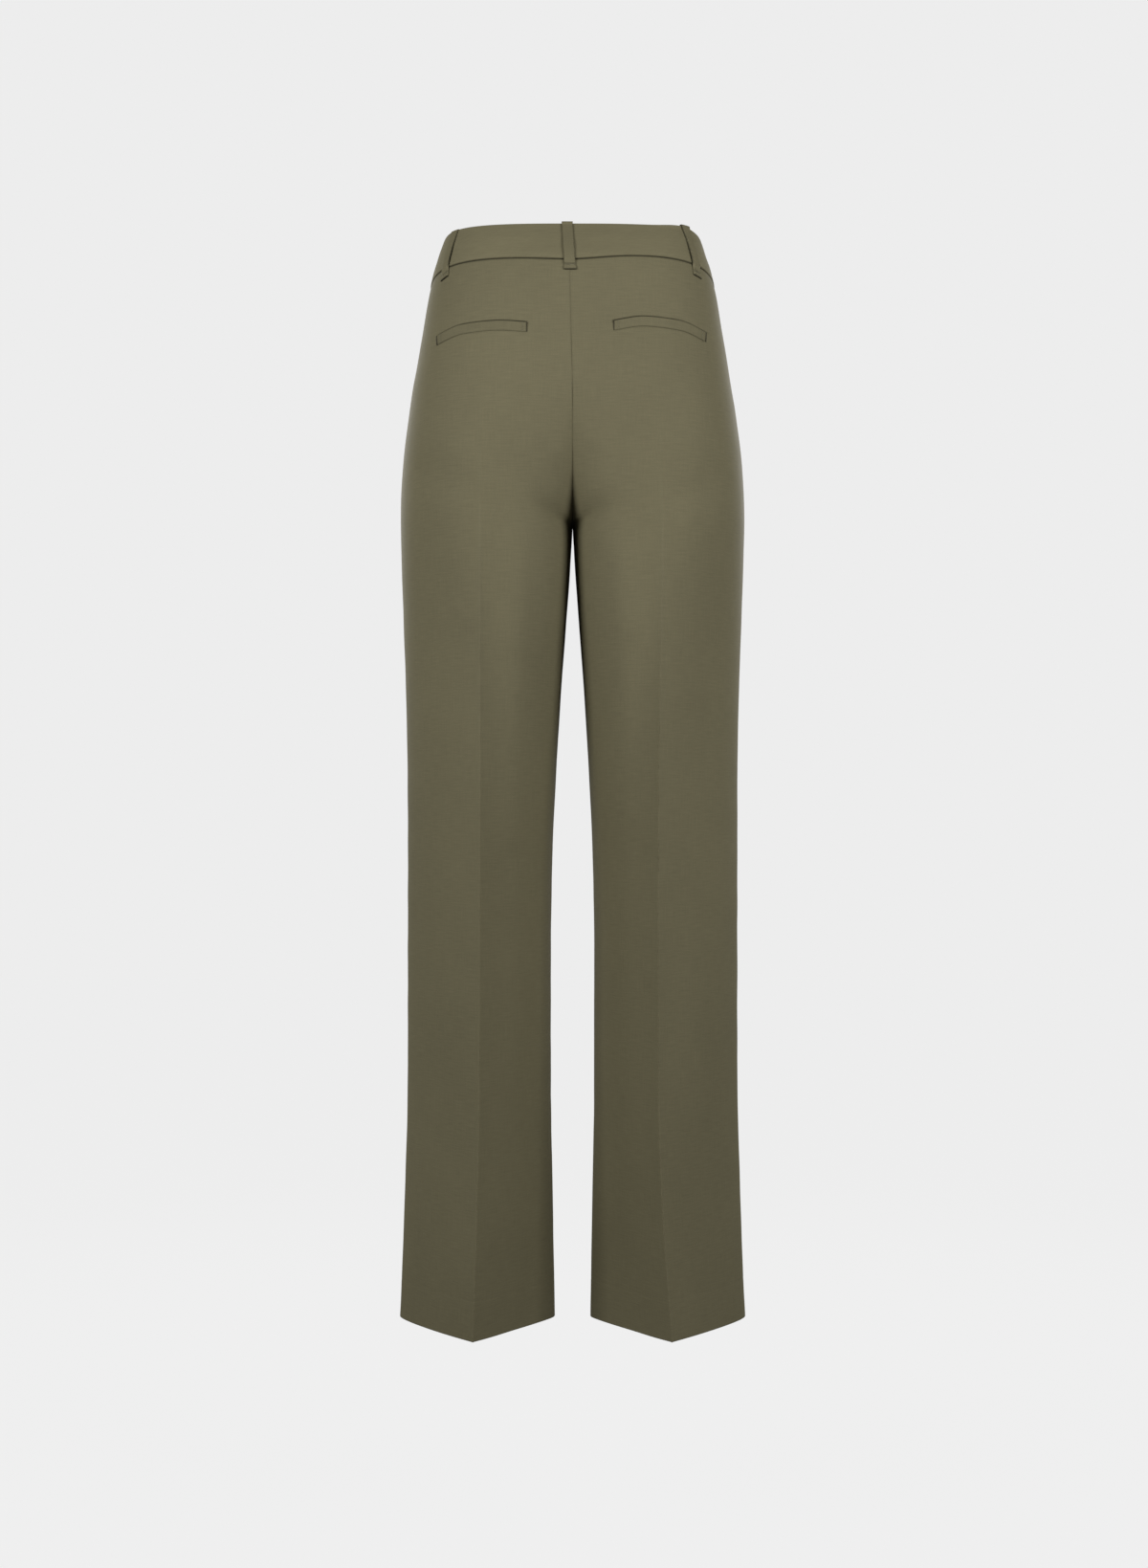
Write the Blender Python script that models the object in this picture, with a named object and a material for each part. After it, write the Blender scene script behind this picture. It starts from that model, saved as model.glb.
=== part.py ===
"""High-waisted wide-leg trousers with pressed creases, worn round and hollow.

Metres, +Z up. The origin is the middle of the waist opening, level with the top of
the waistband. The front faces -Y, and the wearer's left leg is at +X. Every cut piece
is a closed wall of cloth, and a seam's gap parts it from the piece it is sewn to.
"""

import math
from bisect import bisect_right
from collections import namedtuple

import bmesh
import bpy
from mathutils import Vector

MM = 0.001

# Which leg and which face of the garment a panel belongs to.
LEFT = 1
RIGHT = -1
BACK = 1
FRONT = -1

# Cloth and sewing.
CLOTH = 1.3 * MM            # one layer of suiting
HEM_CLOTH = 2.3 * MM        # the leg's foot, with the hem turned up inside
HEM_TURNED = 38 * MM
BAND_CLOTH = 2.2 * MM       # the waistband's two layers
BAND_PROUD = 0.6 * MM       # the band's outer face stands over the panels' face
SEAM_GAP = 0.3 * MM
WAIST_GAP = 0.4 * MM

# Driving sizes of the garment.
BAND_HEIGHT = 38.5 * MM
OUTSEAM = 1054.5 * MM

# Faces along one panel's width, half of them on each side of the pressed crease.
PANEL_COLUMNS = 16
SEAM_CROWDING = 0.3         # how much closer the columns stand near a seam
ARC_SAMPLES = 40
SHARP = math.radians(26)

# Form of the garment, level by level. Lengths are in millimetres.
#   drop    down from the waist's top
#   half    side seam from the middle plane
#   inner   inner edge from the middle plane
#   back, front   greatest depth behind and before the side seams
#   seat, belly   how openly the middle plane cuts the section: 90 at a whole torso,
#                 0 at a closed leg
#   square  power of the rounded section, 2 for an ellipse
#   tent    share of the section that the pressed creases pull into straight sides
#   seam    how far the centre-back seam sits towards the left leg
#   rows    faces down to the next level
Level = namedtuple("Level", "drop half inner back front seat belly square tent seam rows")
LEVELS = [
    # drop   half   inner  back  front  seat belly square tent  seam  rows
    Level(0.0, 123.8, 0.0, 76.5, 86.0, 90, 90, 3.10, 0.00, 2.6, 3),      # waist
    Level(38.5, 136.4, 0.0, 103.0, 96.0, 90, 90, 2.80, 0.00, 2.6, 3),    # waist seam
    Level(100.0, 147.6, 0.0, 118.0, 103.0, 86, 90, 2.55, 0.00, 1.6, 3),  # high hip
    Level(175.0, 159.4, 0.0, 126.0, 106.0, 73, 87, 2.45, 0.01, 0.0, 2),  # hip
    Level(215.0, 165.1, 0.0, 126.0, 105.5, 60, 77, 2.42, 0.04, 0.0, 2),  # seat
    Level(250.0, 167.7, 0.0, 124.0, 104.5, 42, 58, 2.38, 0.08, 0.0, 1),  # seat fold
    Level(262.0, 168.0, 0.0, 123.1, 104.3, 34, 47, 2.36, 0.10, 0.0, 1),
    Level(271.5, 168.2, 0.0, 122.3, 104.2, 25, 35, 2.34, 0.12, 0.0, 1),
    Level(278.0, 168.2, 0.1, 121.7, 104.1, 14, 20, 2.32, 0.13, 0.0, 1),
    Level(281.5, 168.2, 0.3, 121.4, 104.0, 0, 0, 2.30, 0.14, 0.0, 2),    # crotch
    Level(318.0, 167.5, 2.3, 118.6, 104.5, 0, 0, 2.18, 0.22, 0.0, 2),    # thigh
    Level(372.0, 165.9, 6.2, 115.6, 105.0, 0, 0, 2.08, 0.34, 0.0, 2),
    Level(430.0, 163.9, 10.5, 113.4, 105.5, 0, 0, 2.03, 0.44, 0.0, 2),
    Level(513.0, 162.1, 15.6, 111.5, 106.0, 0, 0, 2.00, 0.54, 0.0, 2),
    Level(600.0, 161.9, 19.6, 110.0, 106.5, 0, 0, 2.00, 0.61, 0.0, 2),   # knee
    Level(700.0, 161.9, 21.2, 109.0, 107.0, 0, 0, 2.00, 0.66, 0.0, 3),
    Level(825.0, 162.2, 21.1, 108.6, 107.5, 0, 0, 2.00, 0.70, 0.0, 2),   # shin
    Level(936.0, 165.0, 19.4, 108.4, 108.0, 0, 0, 2.00, 0.74, 0.0, 2),
    Level(1016.5, 167.8, 18.0, 108.4, 108.2, 0, 0, 2.00, 0.77, 0.0, 3),  # hem's fold
    Level(1054.5, 169.6, 17.4, 108.4, 108.4, 0, 0, 2.00, 0.77, 0.0, 0),  # hem
]

# Pressed crease of each leg: millimetres from the middle plane at each drop.
CREASE_DROPS = [0.0, 287.5, 600.0, 825.0, 936.0, 1054.5]
CREASE_PLACES = {
    LEFT: [80.0, 86.0, 86.6, 87.2, 89.5, 93.5],
    RIGHT: [78.0, 84.0, 80.2, 80.4, 84.5, 93.2],
}

# Back pocket welts: ends from the middle plane, and drops of the upper edge, in millimetres.
Welt = namedtuple("Welt", "name side near far near_drop middle_drop far_drop")
WELTS = [
    Welt("back_welt_left", LEFT, 41.7, 128.9, 100.6, 97.7, 106.8),
    Welt("back_welt_right", RIGHT, 36.4, 126.6, 98.8, 94.2, 102.2),
]
WELT_HEIGHT = 9.4 * MM
WELT_CLOTH = 1.2 * MM
WELT_COLUMNS = 16
WELT_ROWS = 2

# The waist seam behind bows upwards between centre and side, in millimetres.
WAIST_RISE = {LEFT: 1.8, RIGHT: 4.6}
RISE_FADES = 100.0           # drop at which the cloth below has evened it out

# Belt loops: where each top and foot stand, as shares of the half width at their level.
Loop = namedtuple("Loop", "name side face top foot")
LOOPS = [
    Loop("belt_loop_centre_back", LEFT, BACK, 0.032, 0.030),
    Loop("belt_loop_back_left", LEFT, BACK, 0.908, 0.870),
    Loop("belt_loop_back_right", RIGHT, BACK, 0.862, 0.843),
    Loop("belt_loop_front_left", LEFT, FRONT, 0.560, 0.560),
    Loop("belt_loop_front_right", RIGHT, FRONT, 0.560, 0.560),
]
LOOP_WIDTH = 10.5 * MM

# A belt loop from the fold over the band's top edge down to its sewn foot, in millimetres.
#   inner, outer            the strip's two faces, out from the panels' face
#   inner_drop, outer_drop  their places down from the waist's top
Bend = namedtuple("Bend", "inner inner_drop outer outer_drop")
LOOP_BENDS = [
    Bend(-1.5, -0.4, -1.5, -1.9),
    Bend(-0.2, -0.4, 0.8, -2.1),
    Bend(1.0, -0.4, 2.5, -1.4),
    Bend(1.0, 2.0, 3.2, 1.2),
    Bend(2.5, 7.0, 4.1, 6.5),
    Bend(2.9, 17.0, 4.4, 17.0),
    Bend(2.7, 30.0, 4.2, 30.0),
    Bend(1.9, 37.5, 3.8, 38.5),
    Bend(0.5, 41.5, 3.1, 42.0),
    Bend(0.4, 49.0, 2.7, 49.0),
]

# Front closure: the band's under end and the shield behind the fly.
LAP = 40 * MM                # how far the band's under end runs past the middle
LAP_EASE = 48 * MM           # where it has come out to the band's own face again
LAP_COLUMNS = 4
LAP_GAP = 0.5 * MM
SHIELD_LENGTH = 172 * MM
SHIELD_WIDTH = 38 * MM
SHIELD_FOOT = 14 * MM        # its width at the lower end
SHIELD_CLOTH = 1.2 * MM
SHIELD_GAP = 0.5 * MM
SHIELD_ROWS = 8
SHIELD_COLUMNS = 4

# Linear colours and roughness of the cloth.
OLIVE = (0.150, 0.135, 0.083)
OLIVE_DEEP = (0.118, 0.106, 0.064)
CLOTH_ROUGHNESS = 0.82


class Track:
    """A smooth curve through a column of the table, which never passes beyond its values."""

    def __init__(self, places, values):
        self.places = places
        self.values = values
        pairs = list(zip(places, values))
        rises = [(b[1] - a[1]) / (b[0] - a[0]) for a, b in zip(pairs, pairs[1:])]
        self.slopes = [rises[0]]
        for before, after in zip(rises, rises[1:]):
            turning = before * after <= 0
            self.slopes.append(0.0 if turning else 2 * before * after / (before + after))
        self.slopes.append(rises[-1])

    def at(self, place):
        place = min(max(place, self.places[0]), self.places[-1])
        i = min(bisect_right(self.places, place) - 1, len(self.places) - 2)
        step = self.places[i + 1] - self.places[i]
        f = (place - self.places[i]) / step
        start = (1 + 2 * f) * (1 - f) ** 2 * self.values[i]
        end = f * f * (3 - 2 * f) * self.values[i + 1]
        leave = f * (1 - f) ** 2 * step * self.slopes[i]
        arrive = f * f * (f - 1) * step * self.slopes[i + 1]
        return start + end + leave + arrive


FORM = {
    name: Track([level.drop for level in LEVELS], [getattr(level, name) for level in LEVELS])
    for name in Level._fields if name not in ("drop", "rows")
}
CREASES = {side: Track(CREASE_DROPS, places) for side, places in CREASE_PLACES.items()}

Section = namedtuple("Section", "first middle reach depth power tent peak")


def section_at(side, face, drop):
    """The half section of one leg's face at a drop in metres.

    Places across it run from `first`, at the centre seam or inseam, to 1 at the side seam.
    """
    size = {name: track.at(drop / MM) for name, track in FORM.items()}
    opening = math.radians(size["seat"] if face == BACK else size["belly"])
    power = size["square"]
    past = max(0.0, 1 - math.sin(opening) ** power) ** (1 / power)
    inner = size["inner"] * MM + SEAM_GAP / 2
    if face == BACK:
        inner += side * size["seam"] * MM
    reach = (size["half"] * MM - inner) / (1 + past)
    middle = inner + reach * past
    depth = (size["back"] if face == BACK else size["front"]) * MM
    peak = (CREASES[side].at(drop / MM) * MM - middle) / reach
    return Section(-past, middle, reach, depth, power, size["tent"], peak)


def depth_of(section, across):
    """Depth of the cloth's outer face from the side seams' plane."""
    rounded = max(0.0, 1 - abs(across) ** section.power) ** (1 / section.power)
    if across < section.peak:
        creased = (1 + across) / (1 + section.peak)
    else:
        creased = (1 - across) / (1 - section.peak)
    return section.depth * ((1 - section.tent) * rounded + section.tent * creased)


def crowded(f):
    """Moves even steps towards the far end, which is a seam."""
    return f * (1 + SEAM_CROWDING * (1 - f))


def arc(section, start, end, shares):
    """Points (across, depth) at shares of the cloth's length between two places."""
    first = math.acos(-start)
    last = math.acos(-end)
    places = [-math.cos(first + (last - first) * i / ARC_SAMPLES) for i in range(ARC_SAMPLES + 1)]
    dense = [Vector((across * section.reach, depth_of(section, across))) for across in places]
    lengths = [0.0]
    for a, b in zip(dense, dense[1:]):
        lengths.append(lengths[-1] + (b - a).length)
    points = []
    for share in shares:
        wanted = share * lengths[-1]
        i = min(max(bisect_right(lengths, wanted) - 1, 0), ARC_SAMPLES - 1)
        f = (wanted - lengths[i]) / (lengths[i + 1] - lengths[i])
        points.append(dense[i].lerp(dense[i + 1], f))
    return points


def level_row(side, face, drop):
    """Points on the outer face at one level, from centre seam or inseam to side seam."""
    section = section_at(side, face, drop)
    half = PANEL_COLUMNS // 2
    outward = [crowded(i / half) for i in range(half + 1)]
    inward = [1 - share for share in reversed(outward)]
    near = arc(section, section.first, section.peak, inward)
    far = arc(section, section.peak, 1.0, outward)
    row = []
    for point in near + far[1:]:
        across = section.middle + point.x
        depth = point.y + SEAM_GAP / 2
        row.append(Vector((side * across, face * depth, -drop)))
    return row


def half_row(side, face, drop):
    """A row of the cloth's grid: level, but for the bow of the waist seam behind."""
    down = drop / MM
    fade = min(down / LEVELS[1].drop, (RISE_FADES - down) / (RISE_FADES - LEVELS[1].drop))
    if face == FRONT or fade <= 0:
        return level_row(side, face, drop)
    rise = WAIST_RISE[side] * fade * MM
    lifts = [rise * math.sin(math.pi * j / PANEL_COLUMNS) ** 2 for j in range(PANEL_COLUMNS + 1)]
    return [level_row(side, face, drop - lift)[j] for j, lift in enumerate(lifts)]


def outward_normals(grid, turn):
    """Unit normals of a grid of points; turn is 1 or -1 and picks the outer side."""
    normals = []
    for i, row in enumerate(grid):
        above = grid[max(i - 1, 0)]
        below = grid[min(i + 1, len(grid) - 1)]
        line = []
        for j in range(len(row)):
            along = row[min(j + 1, len(row) - 1)] - row[max(j - 1, 0)]
            line.append((below[j] - above[j]).cross(along).normalized() * turn)
        normals.append(line)
    return normals


def shifted(grid, normals, shift):
    """A copy of a grid moved along its normals; shift gives the distance at row i, column j."""
    return [[point + normals[i][j] * shift(i, j) for j, point in enumerate(row)]
            for i, row in enumerate(grid)]


def wall(name, outer, inner, material):
    """A closed wall of cloth between two matching grids of points."""
    mesh = bmesh.new()
    rows = len(outer)
    columns = len(outer[0])
    skins = [[[mesh.verts.new(point) for point in row] for row in grid] for grid in (outer, inner)]
    for skin in skins:
        for i in range(rows - 1):
            for j in range(columns - 1):
                mesh.faces.new((skin[i][j], skin[i][j + 1], skin[i + 1][j + 1], skin[i + 1][j]))
    rim = [(0, j) for j in range(columns)]
    rim += [(i, columns - 1) for i in range(1, rows)]
    rim += [(rows - 1, j) for j in range(columns - 2, -1, -1)]
    rim += [(i, 0) for i in range(rows - 2, 0, -1)]
    out, back = skins
    for a, b in zip(rim, rim[1:] + rim[:1]):
        mesh.faces.new((out[a[0]][a[1]], out[b[0]][b[1]], back[b[0]][b[1]], back[a[0]][a[1]]))
    bmesh.ops.recalc_face_normals(mesh, faces=mesh.faces)
    data = bpy.data.meshes.new(name)
    mesh.to_mesh(data)
    mesh.free()
    data.materials.append(material)
    data.shade_smooth()
    data.set_sharp_from_angle(angle=SHARP)
    thing = bpy.data.objects.new(name, data)
    bpy.context.scene.collection.objects.link(thing)
    return thing


def cloth_material(name, colour):
    """Plain woven suiting."""
    material = bpy.data.materials.new(name)
    material.use_nodes = True
    shader = material.node_tree.nodes["Principled BSDF"]
    shader.inputs["Base Color"].default_value = (*colour, 1.0)
    shader.inputs["Roughness"].default_value = CLOTH_ROUGHNESS
    shader.inputs["Metallic"].default_value = 0.0
    shader.inputs["Sheen Weight"].default_value = 0.25
    return material


def panel_drops():
    """Drops of a panel's rows, from the waist seam to the hem."""
    drops = [BAND_HEIGHT + WAIST_GAP / 2]
    for upper, lower in zip(LEVELS[1:], LEVELS[2:]):
        span = lower.drop - upper.drop
        drops += [(upper.drop + span * (i + 1) / upper.rows) * MM for i in range(upper.rows)]
    return drops


def make_panel(name, side, face, material):
    """One leg panel: its outer face follows the form, and its wall lies inside that."""
    drops = panel_drops()
    outer = [half_row(side, face, drop) for drop in drops]
    normals = outward_normals(outer, -side * face)
    hem_fold = OUTSEAM - HEM_TURNED

    def depth(i, j):
        return -HEM_CLOTH if drops[i] > hem_fold + MM else -CLOTH

    inner = shifted(outer, normals, depth)
    for i, row in enumerate(inner):
        centre = outer[i][0]
        row[0].x = side * max(side * row[0].x, side * centre.x)
        for point in row:
            point.y = face * max(face * point.y, SEAM_GAP / 2)
    return wall(name, outer, inner, material)


def band_ring(drop):
    """A row round the band: lap, left front, left back, right back and right front."""
    left_front = half_row(LEFT, FRONT, drop)
    left_back = half_row(LEFT, BACK, drop)
    right_back = half_row(RIGHT, BACK, drop)
    right_front = half_row(RIGHT, FRONT, drop)
    start = left_front[0]
    section = section_at(RIGHT, FRONT, drop)
    lap = []
    for i in range(LAP_COLUMNS):
        x = LAP * (1 - i / LAP_COLUMNS)
        across = (x - section.middle) / section.reach
        lap.append(Vector((-x, -depth_of(section, across) - SEAM_GAP / 2, start.z)))
    ring = lap + left_front[:-1]
    ring += list(reversed(left_back[1:]))
    ring += right_back[1:]
    ring += list(reversed(right_front[1:-1]))
    return ring + [right_front[0]]


def make_band(material):
    """The waistband, an open strip whose left end passes behind its right one."""
    height = BAND_HEIGHT - WAIST_GAP / 2
    form = [band_ring(height * i / LEVELS[0].rows) for i in range(LEVELS[0].rows + 1)]
    normals = outward_normals(form, 1)
    behind = BAND_PROUD - BAND_CLOTH - LAP_GAP

    def face_shift(i, j):
        point = form[i][j]
        if j >= LAP_COLUMNS + PANEL_COLUMNS or point.x > LAP_EASE:
            return BAND_PROUD
        f = min(max((point.x - LAP_EASE / 4) / (LAP_EASE * 3 / 4), 0.0), 1.0)
        return behind + (BAND_PROUD - behind) * f * f * (3 - 2 * f)

    outer = shifted(form, normals, face_shift)
    inner = shifted(form, normals, lambda i, j: face_shift(i, j) - BAND_CLOTH)
    return wall("waistband", outer, inner, material)


def surface(side, face, x, drop):
    """A point of the form at x from the middle plane, with its outward normal and tangent."""
    nudge = 0.5 * MM

    def depth(place, level):
        section = section_at(side, face, level)
        return depth_of(section, min(max((place - section.middle) / section.reach, -1.0), 1.0))

    here = depth(x, max(drop, 0.0))
    sideways = (depth(x + nudge, max(drop, 0.0)) - depth(x - nudge, max(drop, 0.0))) / (2 * nudge)
    level = max(drop, nudge)
    downwards = (depth(x, level + nudge) - depth(x, level - nudge)) / (2 * nudge)
    point = Vector((side * x, face * (here + SEAM_GAP / 2), -drop))
    normal = Vector((-side * sideways, face, downwards)).normalized()
    tangent = Vector((side, face * sideways, 0.0)).normalized()
    return point, normal, tangent


def make_welt(welt, material):
    """A pocket's welt, laid on its back panel with its upper edge free."""
    arch = Track([0.0, 0.5, 1.0], [welt.near_drop, welt.middle_drop, welt.far_drop])
    outer = []
    inner = []
    for i in range(WELT_ROWS + 1):
        outer_row = []
        inner_row = []
        for j in range(WELT_COLUMNS + 1):
            share = j / WELT_COLUMNS
            x = (welt.near + (welt.far - welt.near) * share) * MM
            drop = arch.at(share) * MM + WELT_HEIGHT * i / WELT_ROWS
            point, normal, _ = surface(welt.side, BACK, x, drop)
            inner_row.append(point + normal * SEAM_GAP)
            outer_row.append(point + normal * (SEAM_GAP + WELT_CLOTH))
        outer.append(outer_row)
        inner.append(inner_row)
    return wall(welt.name, outer, inner, material)


def make_loop(loop, material):
    """A belt loop: a strip folded over the band's top edge and sewn below the waist seam."""
    outer = []
    inner = []
    for bend in LOOP_BENDS:
        faces = ((inner, bend.inner, bend.inner_drop), (outer, bend.outer, bend.outer_drop))
        for rows, lift, place in faces:
            drop = place * MM
            down = max(place, 0.0)
            share = loop.top + (loop.foot - loop.top) * down / LOOP_BENDS[-1].inner_drop
            middle = share * FORM["half"].at(down) * MM
            _, normal, tangent = surface(loop.side, loop.face, middle, drop)
            level = Vector((normal.x, normal.y, 0.0)).normalized()
            row = []
            for across in (-0.5, 0.0, 0.5):
                x = middle + across * LOOP_WIDTH * abs(tangent.x)
                base, _, _ = surface(loop.side, loop.face, x, drop)
                row.append(base + level * lift * MM)
            rows.append(row)
    return wall(loop.name, outer, inner, material)


def make_shield(material):
    """The fly's shield, a strip behind the front opening, narrower at its foot."""
    top = BAND_HEIGHT + WAIST_GAP
    outer = []
    inner = []
    for i in range(SHIELD_ROWS + 1):
        share = i / SHIELD_ROWS
        drop = top + SHIELD_LENGTH * share
        width = SHIELD_WIDTH - (SHIELD_WIDTH - SHIELD_FOOT) * share ** 3
        outer_row = []
        inner_row = []
        for j in range(SHIELD_COLUMNS + 1):
            x = max(width * j / SHIELD_COLUMNS, MM)
            point, normal, _ = surface(RIGHT, FRONT, x, drop)
            outer_row.append(point - normal * (CLOTH + SHIELD_GAP))
            inner_row.append(point - normal * (CLOTH + SHIELD_GAP + SHIELD_CLOTH))
        outer.append(outer_row)
        inner.append(inner_row)
    return wall("fly_shield", outer, inner, material)


def clear_scene():
    for thing in list(bpy.data.objects):
        bpy.data.objects.remove(thing, do_unlink=True)


def main():
    clear_scene()
    suiting = cloth_material("olive suiting", OLIVE)
    inside = cloth_material("olive suiting, inner pieces", OLIVE_DEEP)
    make_panel("back_left", LEFT, BACK, suiting)
    make_panel("back_right", RIGHT, BACK, suiting)
    make_panel("front_left", LEFT, FRONT, suiting)
    make_panel("front_right", RIGHT, FRONT, suiting)
    make_band(suiting)
    for loop in LOOPS:
        make_loop(loop, suiting)
    for welt in WELTS:
        make_welt(welt, suiting)
    make_shield(inside)


main()
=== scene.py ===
# %% [markdown]
# # High-waisted wide-leg trousers
#
# The trousers are worn round and hollow, and seen from behind. A tailor makes them from
# four long leg panels, a shaped waistband, five belt loops and two pocket welts. The
# lesson builds each of these as a thin shell of cloth on the form of its solid, and
# then gives the cloth its weave.
#
# The first cell loads the solids. They are the frame that every piece has to fit.

# %% Load the frame
import math
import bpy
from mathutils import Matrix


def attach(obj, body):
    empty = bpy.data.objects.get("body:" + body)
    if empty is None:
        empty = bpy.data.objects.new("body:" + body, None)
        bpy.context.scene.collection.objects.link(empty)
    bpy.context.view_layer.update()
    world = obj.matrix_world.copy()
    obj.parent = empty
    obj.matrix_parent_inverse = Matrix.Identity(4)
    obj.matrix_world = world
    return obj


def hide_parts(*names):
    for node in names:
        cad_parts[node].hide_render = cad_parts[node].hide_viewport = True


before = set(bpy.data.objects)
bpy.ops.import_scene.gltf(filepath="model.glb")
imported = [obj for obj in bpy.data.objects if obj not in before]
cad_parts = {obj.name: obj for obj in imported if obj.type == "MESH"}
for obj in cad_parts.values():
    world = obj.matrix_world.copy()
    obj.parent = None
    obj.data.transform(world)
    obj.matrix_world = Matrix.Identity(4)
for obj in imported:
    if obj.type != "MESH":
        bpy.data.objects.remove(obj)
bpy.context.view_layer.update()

from types import SimpleNamespace

import bmesh
import bpy
import numpy as np
from mathutils import Vector

# %% [markdown]
# ## Camera
#
# The picture is taken from behind, level with the middle of the garment. The level hem looks like a
# wide V and the waist seam like an arch, and how strongly they bend tells how near the camera stands:
# about 2.3 m. A lens of 54 mm then fills the tall frame as the photograph does.

# %% Camera
PHOTO_HEIGHT = 1639          # pixels, of a frame 1200 wide
PIXELS_PER_METRE = 1064      # in the plane of the side seams
CAMERA_DISTANCE = 2.30
CAMERA_HEIGHT = -0.5315      # level with the middle of the outseam
CAMERA_ASIDE = -0.0014
SENSOR = 36.0

camera_data = bpy.data.cameras.new("Camera")
camera_data.sensor_fit = "VERTICAL"
camera_data.sensor_height = SENSOR
camera_data.lens = SENSOR * PIXELS_PER_METRE * CAMERA_DISTANCE / PHOTO_HEIGHT
camera_data.clip_end = 50.0
camera = bpy.data.objects.new("Camera", camera_data)
camera.location = (CAMERA_ASIDE, CAMERA_DISTANCE, CAMERA_HEIGHT)
camera.rotation_euler = (math.radians(90), 0, math.radians(180))
bpy.context.scene.collection.objects.link(camera)
bpy.context.scene.camera = camera
print("lens", round(camera_data.lens, 1), "mm")

# %% [markdown]
# ## The cut
#
# A tailor measures a body at levels: waist, hip, seat, thigh, knee, hem. The table says
# the same of the garment, with one row for each level. Between the rows, a smooth curve
# that never overshoots its points gives every size at any drop below the waist, so a
# few numbers make the whole form and a change at one level blends into its neighbours.

# %% Sizes
MM = 0.001
LEFT, RIGHT = 1, -1          # the wearer's legs
BACK, FRONT = 1, -1

CLOTH = 1.3 * MM
HEM_CLOTH = 2.3 * MM
HEM_TURNED = 38 * MM
BAND_CLOTH = 2.2 * MM
BAND_PROUD = 0.6 * MM        # how far the band stands over the panels
BAND_HEIGHT = 38.5 * MM
OUTSEAM = 1054.5 * MM
CROTCH = 281.5 * MM
WAIST_GAP = 0.4 * MM
JOIN = -0.02 * MM            # two panels press into each other by this at a sewn seam

# half: side seam from the middle plane      inner: inner edge from the middle plane
# back, front: depth of the section          seat, belly: 90 a whole torso, 0 a closed leg
# square: power of the rounded section       tent: how far the creases straighten its sides
# square_in, tent_in: the same for the half towards the middle plane
# seam: how far the centre-back seam sits towards the left leg
LEVELS = """
drop    half   inner  back   front  seat  belly  square  tent  square_in  tent_in  seam
0.0     123.8  0.0    76.5   86.0   90    90     3.10    0.00  3.10       0.00     2.6
38.5    136.4  0.0    103.0  96.0   90    90     2.80    0.00  2.80       0.00     2.6
100.0   147.6  0.0    118.0  103.0  86    90     2.55    0.00  2.55       0.00     1.6
175.0   159.4  0.0    126.0  106.0  73    87     2.45    0.01  2.46       0.01     0.0
215.0   165.1  0.0    126.0  105.5  63    77     2.42    0.04  2.50       0.03     0.0
250.0   167.7  0.0    124.0  104.5  52    58     2.38    0.08  2.90       0.05     0.0
262.0   168.0  0.0    123.1  104.3  46    47     2.36    0.10  3.15       0.06     0.0
271.5   168.2  0.0    122.3  104.2  38    35     2.34    0.12  3.45       0.07     0.0
278.0   168.2  0.0    121.7  104.1  26    20     2.32    0.13  3.60       0.07     0.0
281.5   168.2  0.1    121.4  104.0  0     0      2.30    0.14  3.70       0.08     0.0
318.0   167.5  2.3    118.6  104.5  0     0      2.18    0.22  3.90       0.11     0.0
372.0   165.9  6.2    115.6  105.0  0     0      2.08    0.34  3.80       0.17     0.0
430.0   163.9  10.5   113.4  105.5  0     0      2.03    0.44  3.40       0.26     0.0
513.0   162.1  15.6   111.5  106.0  0     0      2.00    0.54  2.90       0.40     0.0
600.0   161.9  19.6   110.0  106.5  0     0      2.00    0.61  2.60       0.49     0.0
700.0   161.9  21.2   109.0  107.0  0     0      2.00    0.66  2.50       0.54     0.0
825.0   162.2  21.1   108.6  107.5  0     0      2.00    0.70  2.60       0.62     0.0
936.0   165.0  19.4   108.4  108.0  0     0      2.00    0.74  2.65       0.74     0.0
1016.5  167.8  18.0   108.4  108.2  0     0      2.00    0.77  2.60       0.86     0.0
1054.5  169.6  17.4   108.4  108.4  0     0      2.00    0.77  2.60       0.90     0.0
"""

CREASE_DROPS = (0.0, 287.5, 600.0, 825.0, 936.0, 1054.5)
CREASE_PLACES = {            # mm from the middle plane
    LEFT: (80.0, 86.0, 86.6, 87.2, 89.5, 93.5),
    RIGHT: (78.0, 84.0, 80.2, 80.4, 84.5, 93.2),
}


def read_table(text):
    """Columns of numbers by name."""
    lines = [line.split() for line in text.strip().splitlines()]
    return {name: np.array([float(line[i]) for line in lines[1:]])
            for i, name in enumerate(lines[0])}


class Track:
    """A smooth curve through values that never passes beyond them."""

    def __init__(self, places, values):
        self.places = np.asarray(places, float)
        self.values = np.asarray(values, float)
        rises = np.diff(self.values) / np.diff(self.places)
        before, after = rises[:-1], rises[1:]
        steady = before * after > 0
        total = np.where(steady, before + after, 1.0)
        inside = np.where(steady, 2 * before * after / total, 0.0)
        self.slopes = np.concatenate([rises[:1], inside, rises[-1:]])

    def at(self, place):
        place = np.clip(place, self.places[0], self.places[-1])
        i = np.searchsorted(self.places, place, side="right") - 1
        i = np.clip(i, 0, len(self.places) - 2)
        step = self.places[i + 1] - self.places[i]
        f = (place - self.places[i]) / step
        start = (1 + 2 * f) * (1 - f) ** 2 * self.values[i]
        end = f * f * (3 - 2 * f) * self.values[i + 1]
        leave = f * (1 - f) ** 2 * step * self.slopes[i]
        arrive = f * f * (f - 1) * step * self.slopes[i + 1]
        return start + end + leave + arrive


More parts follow.
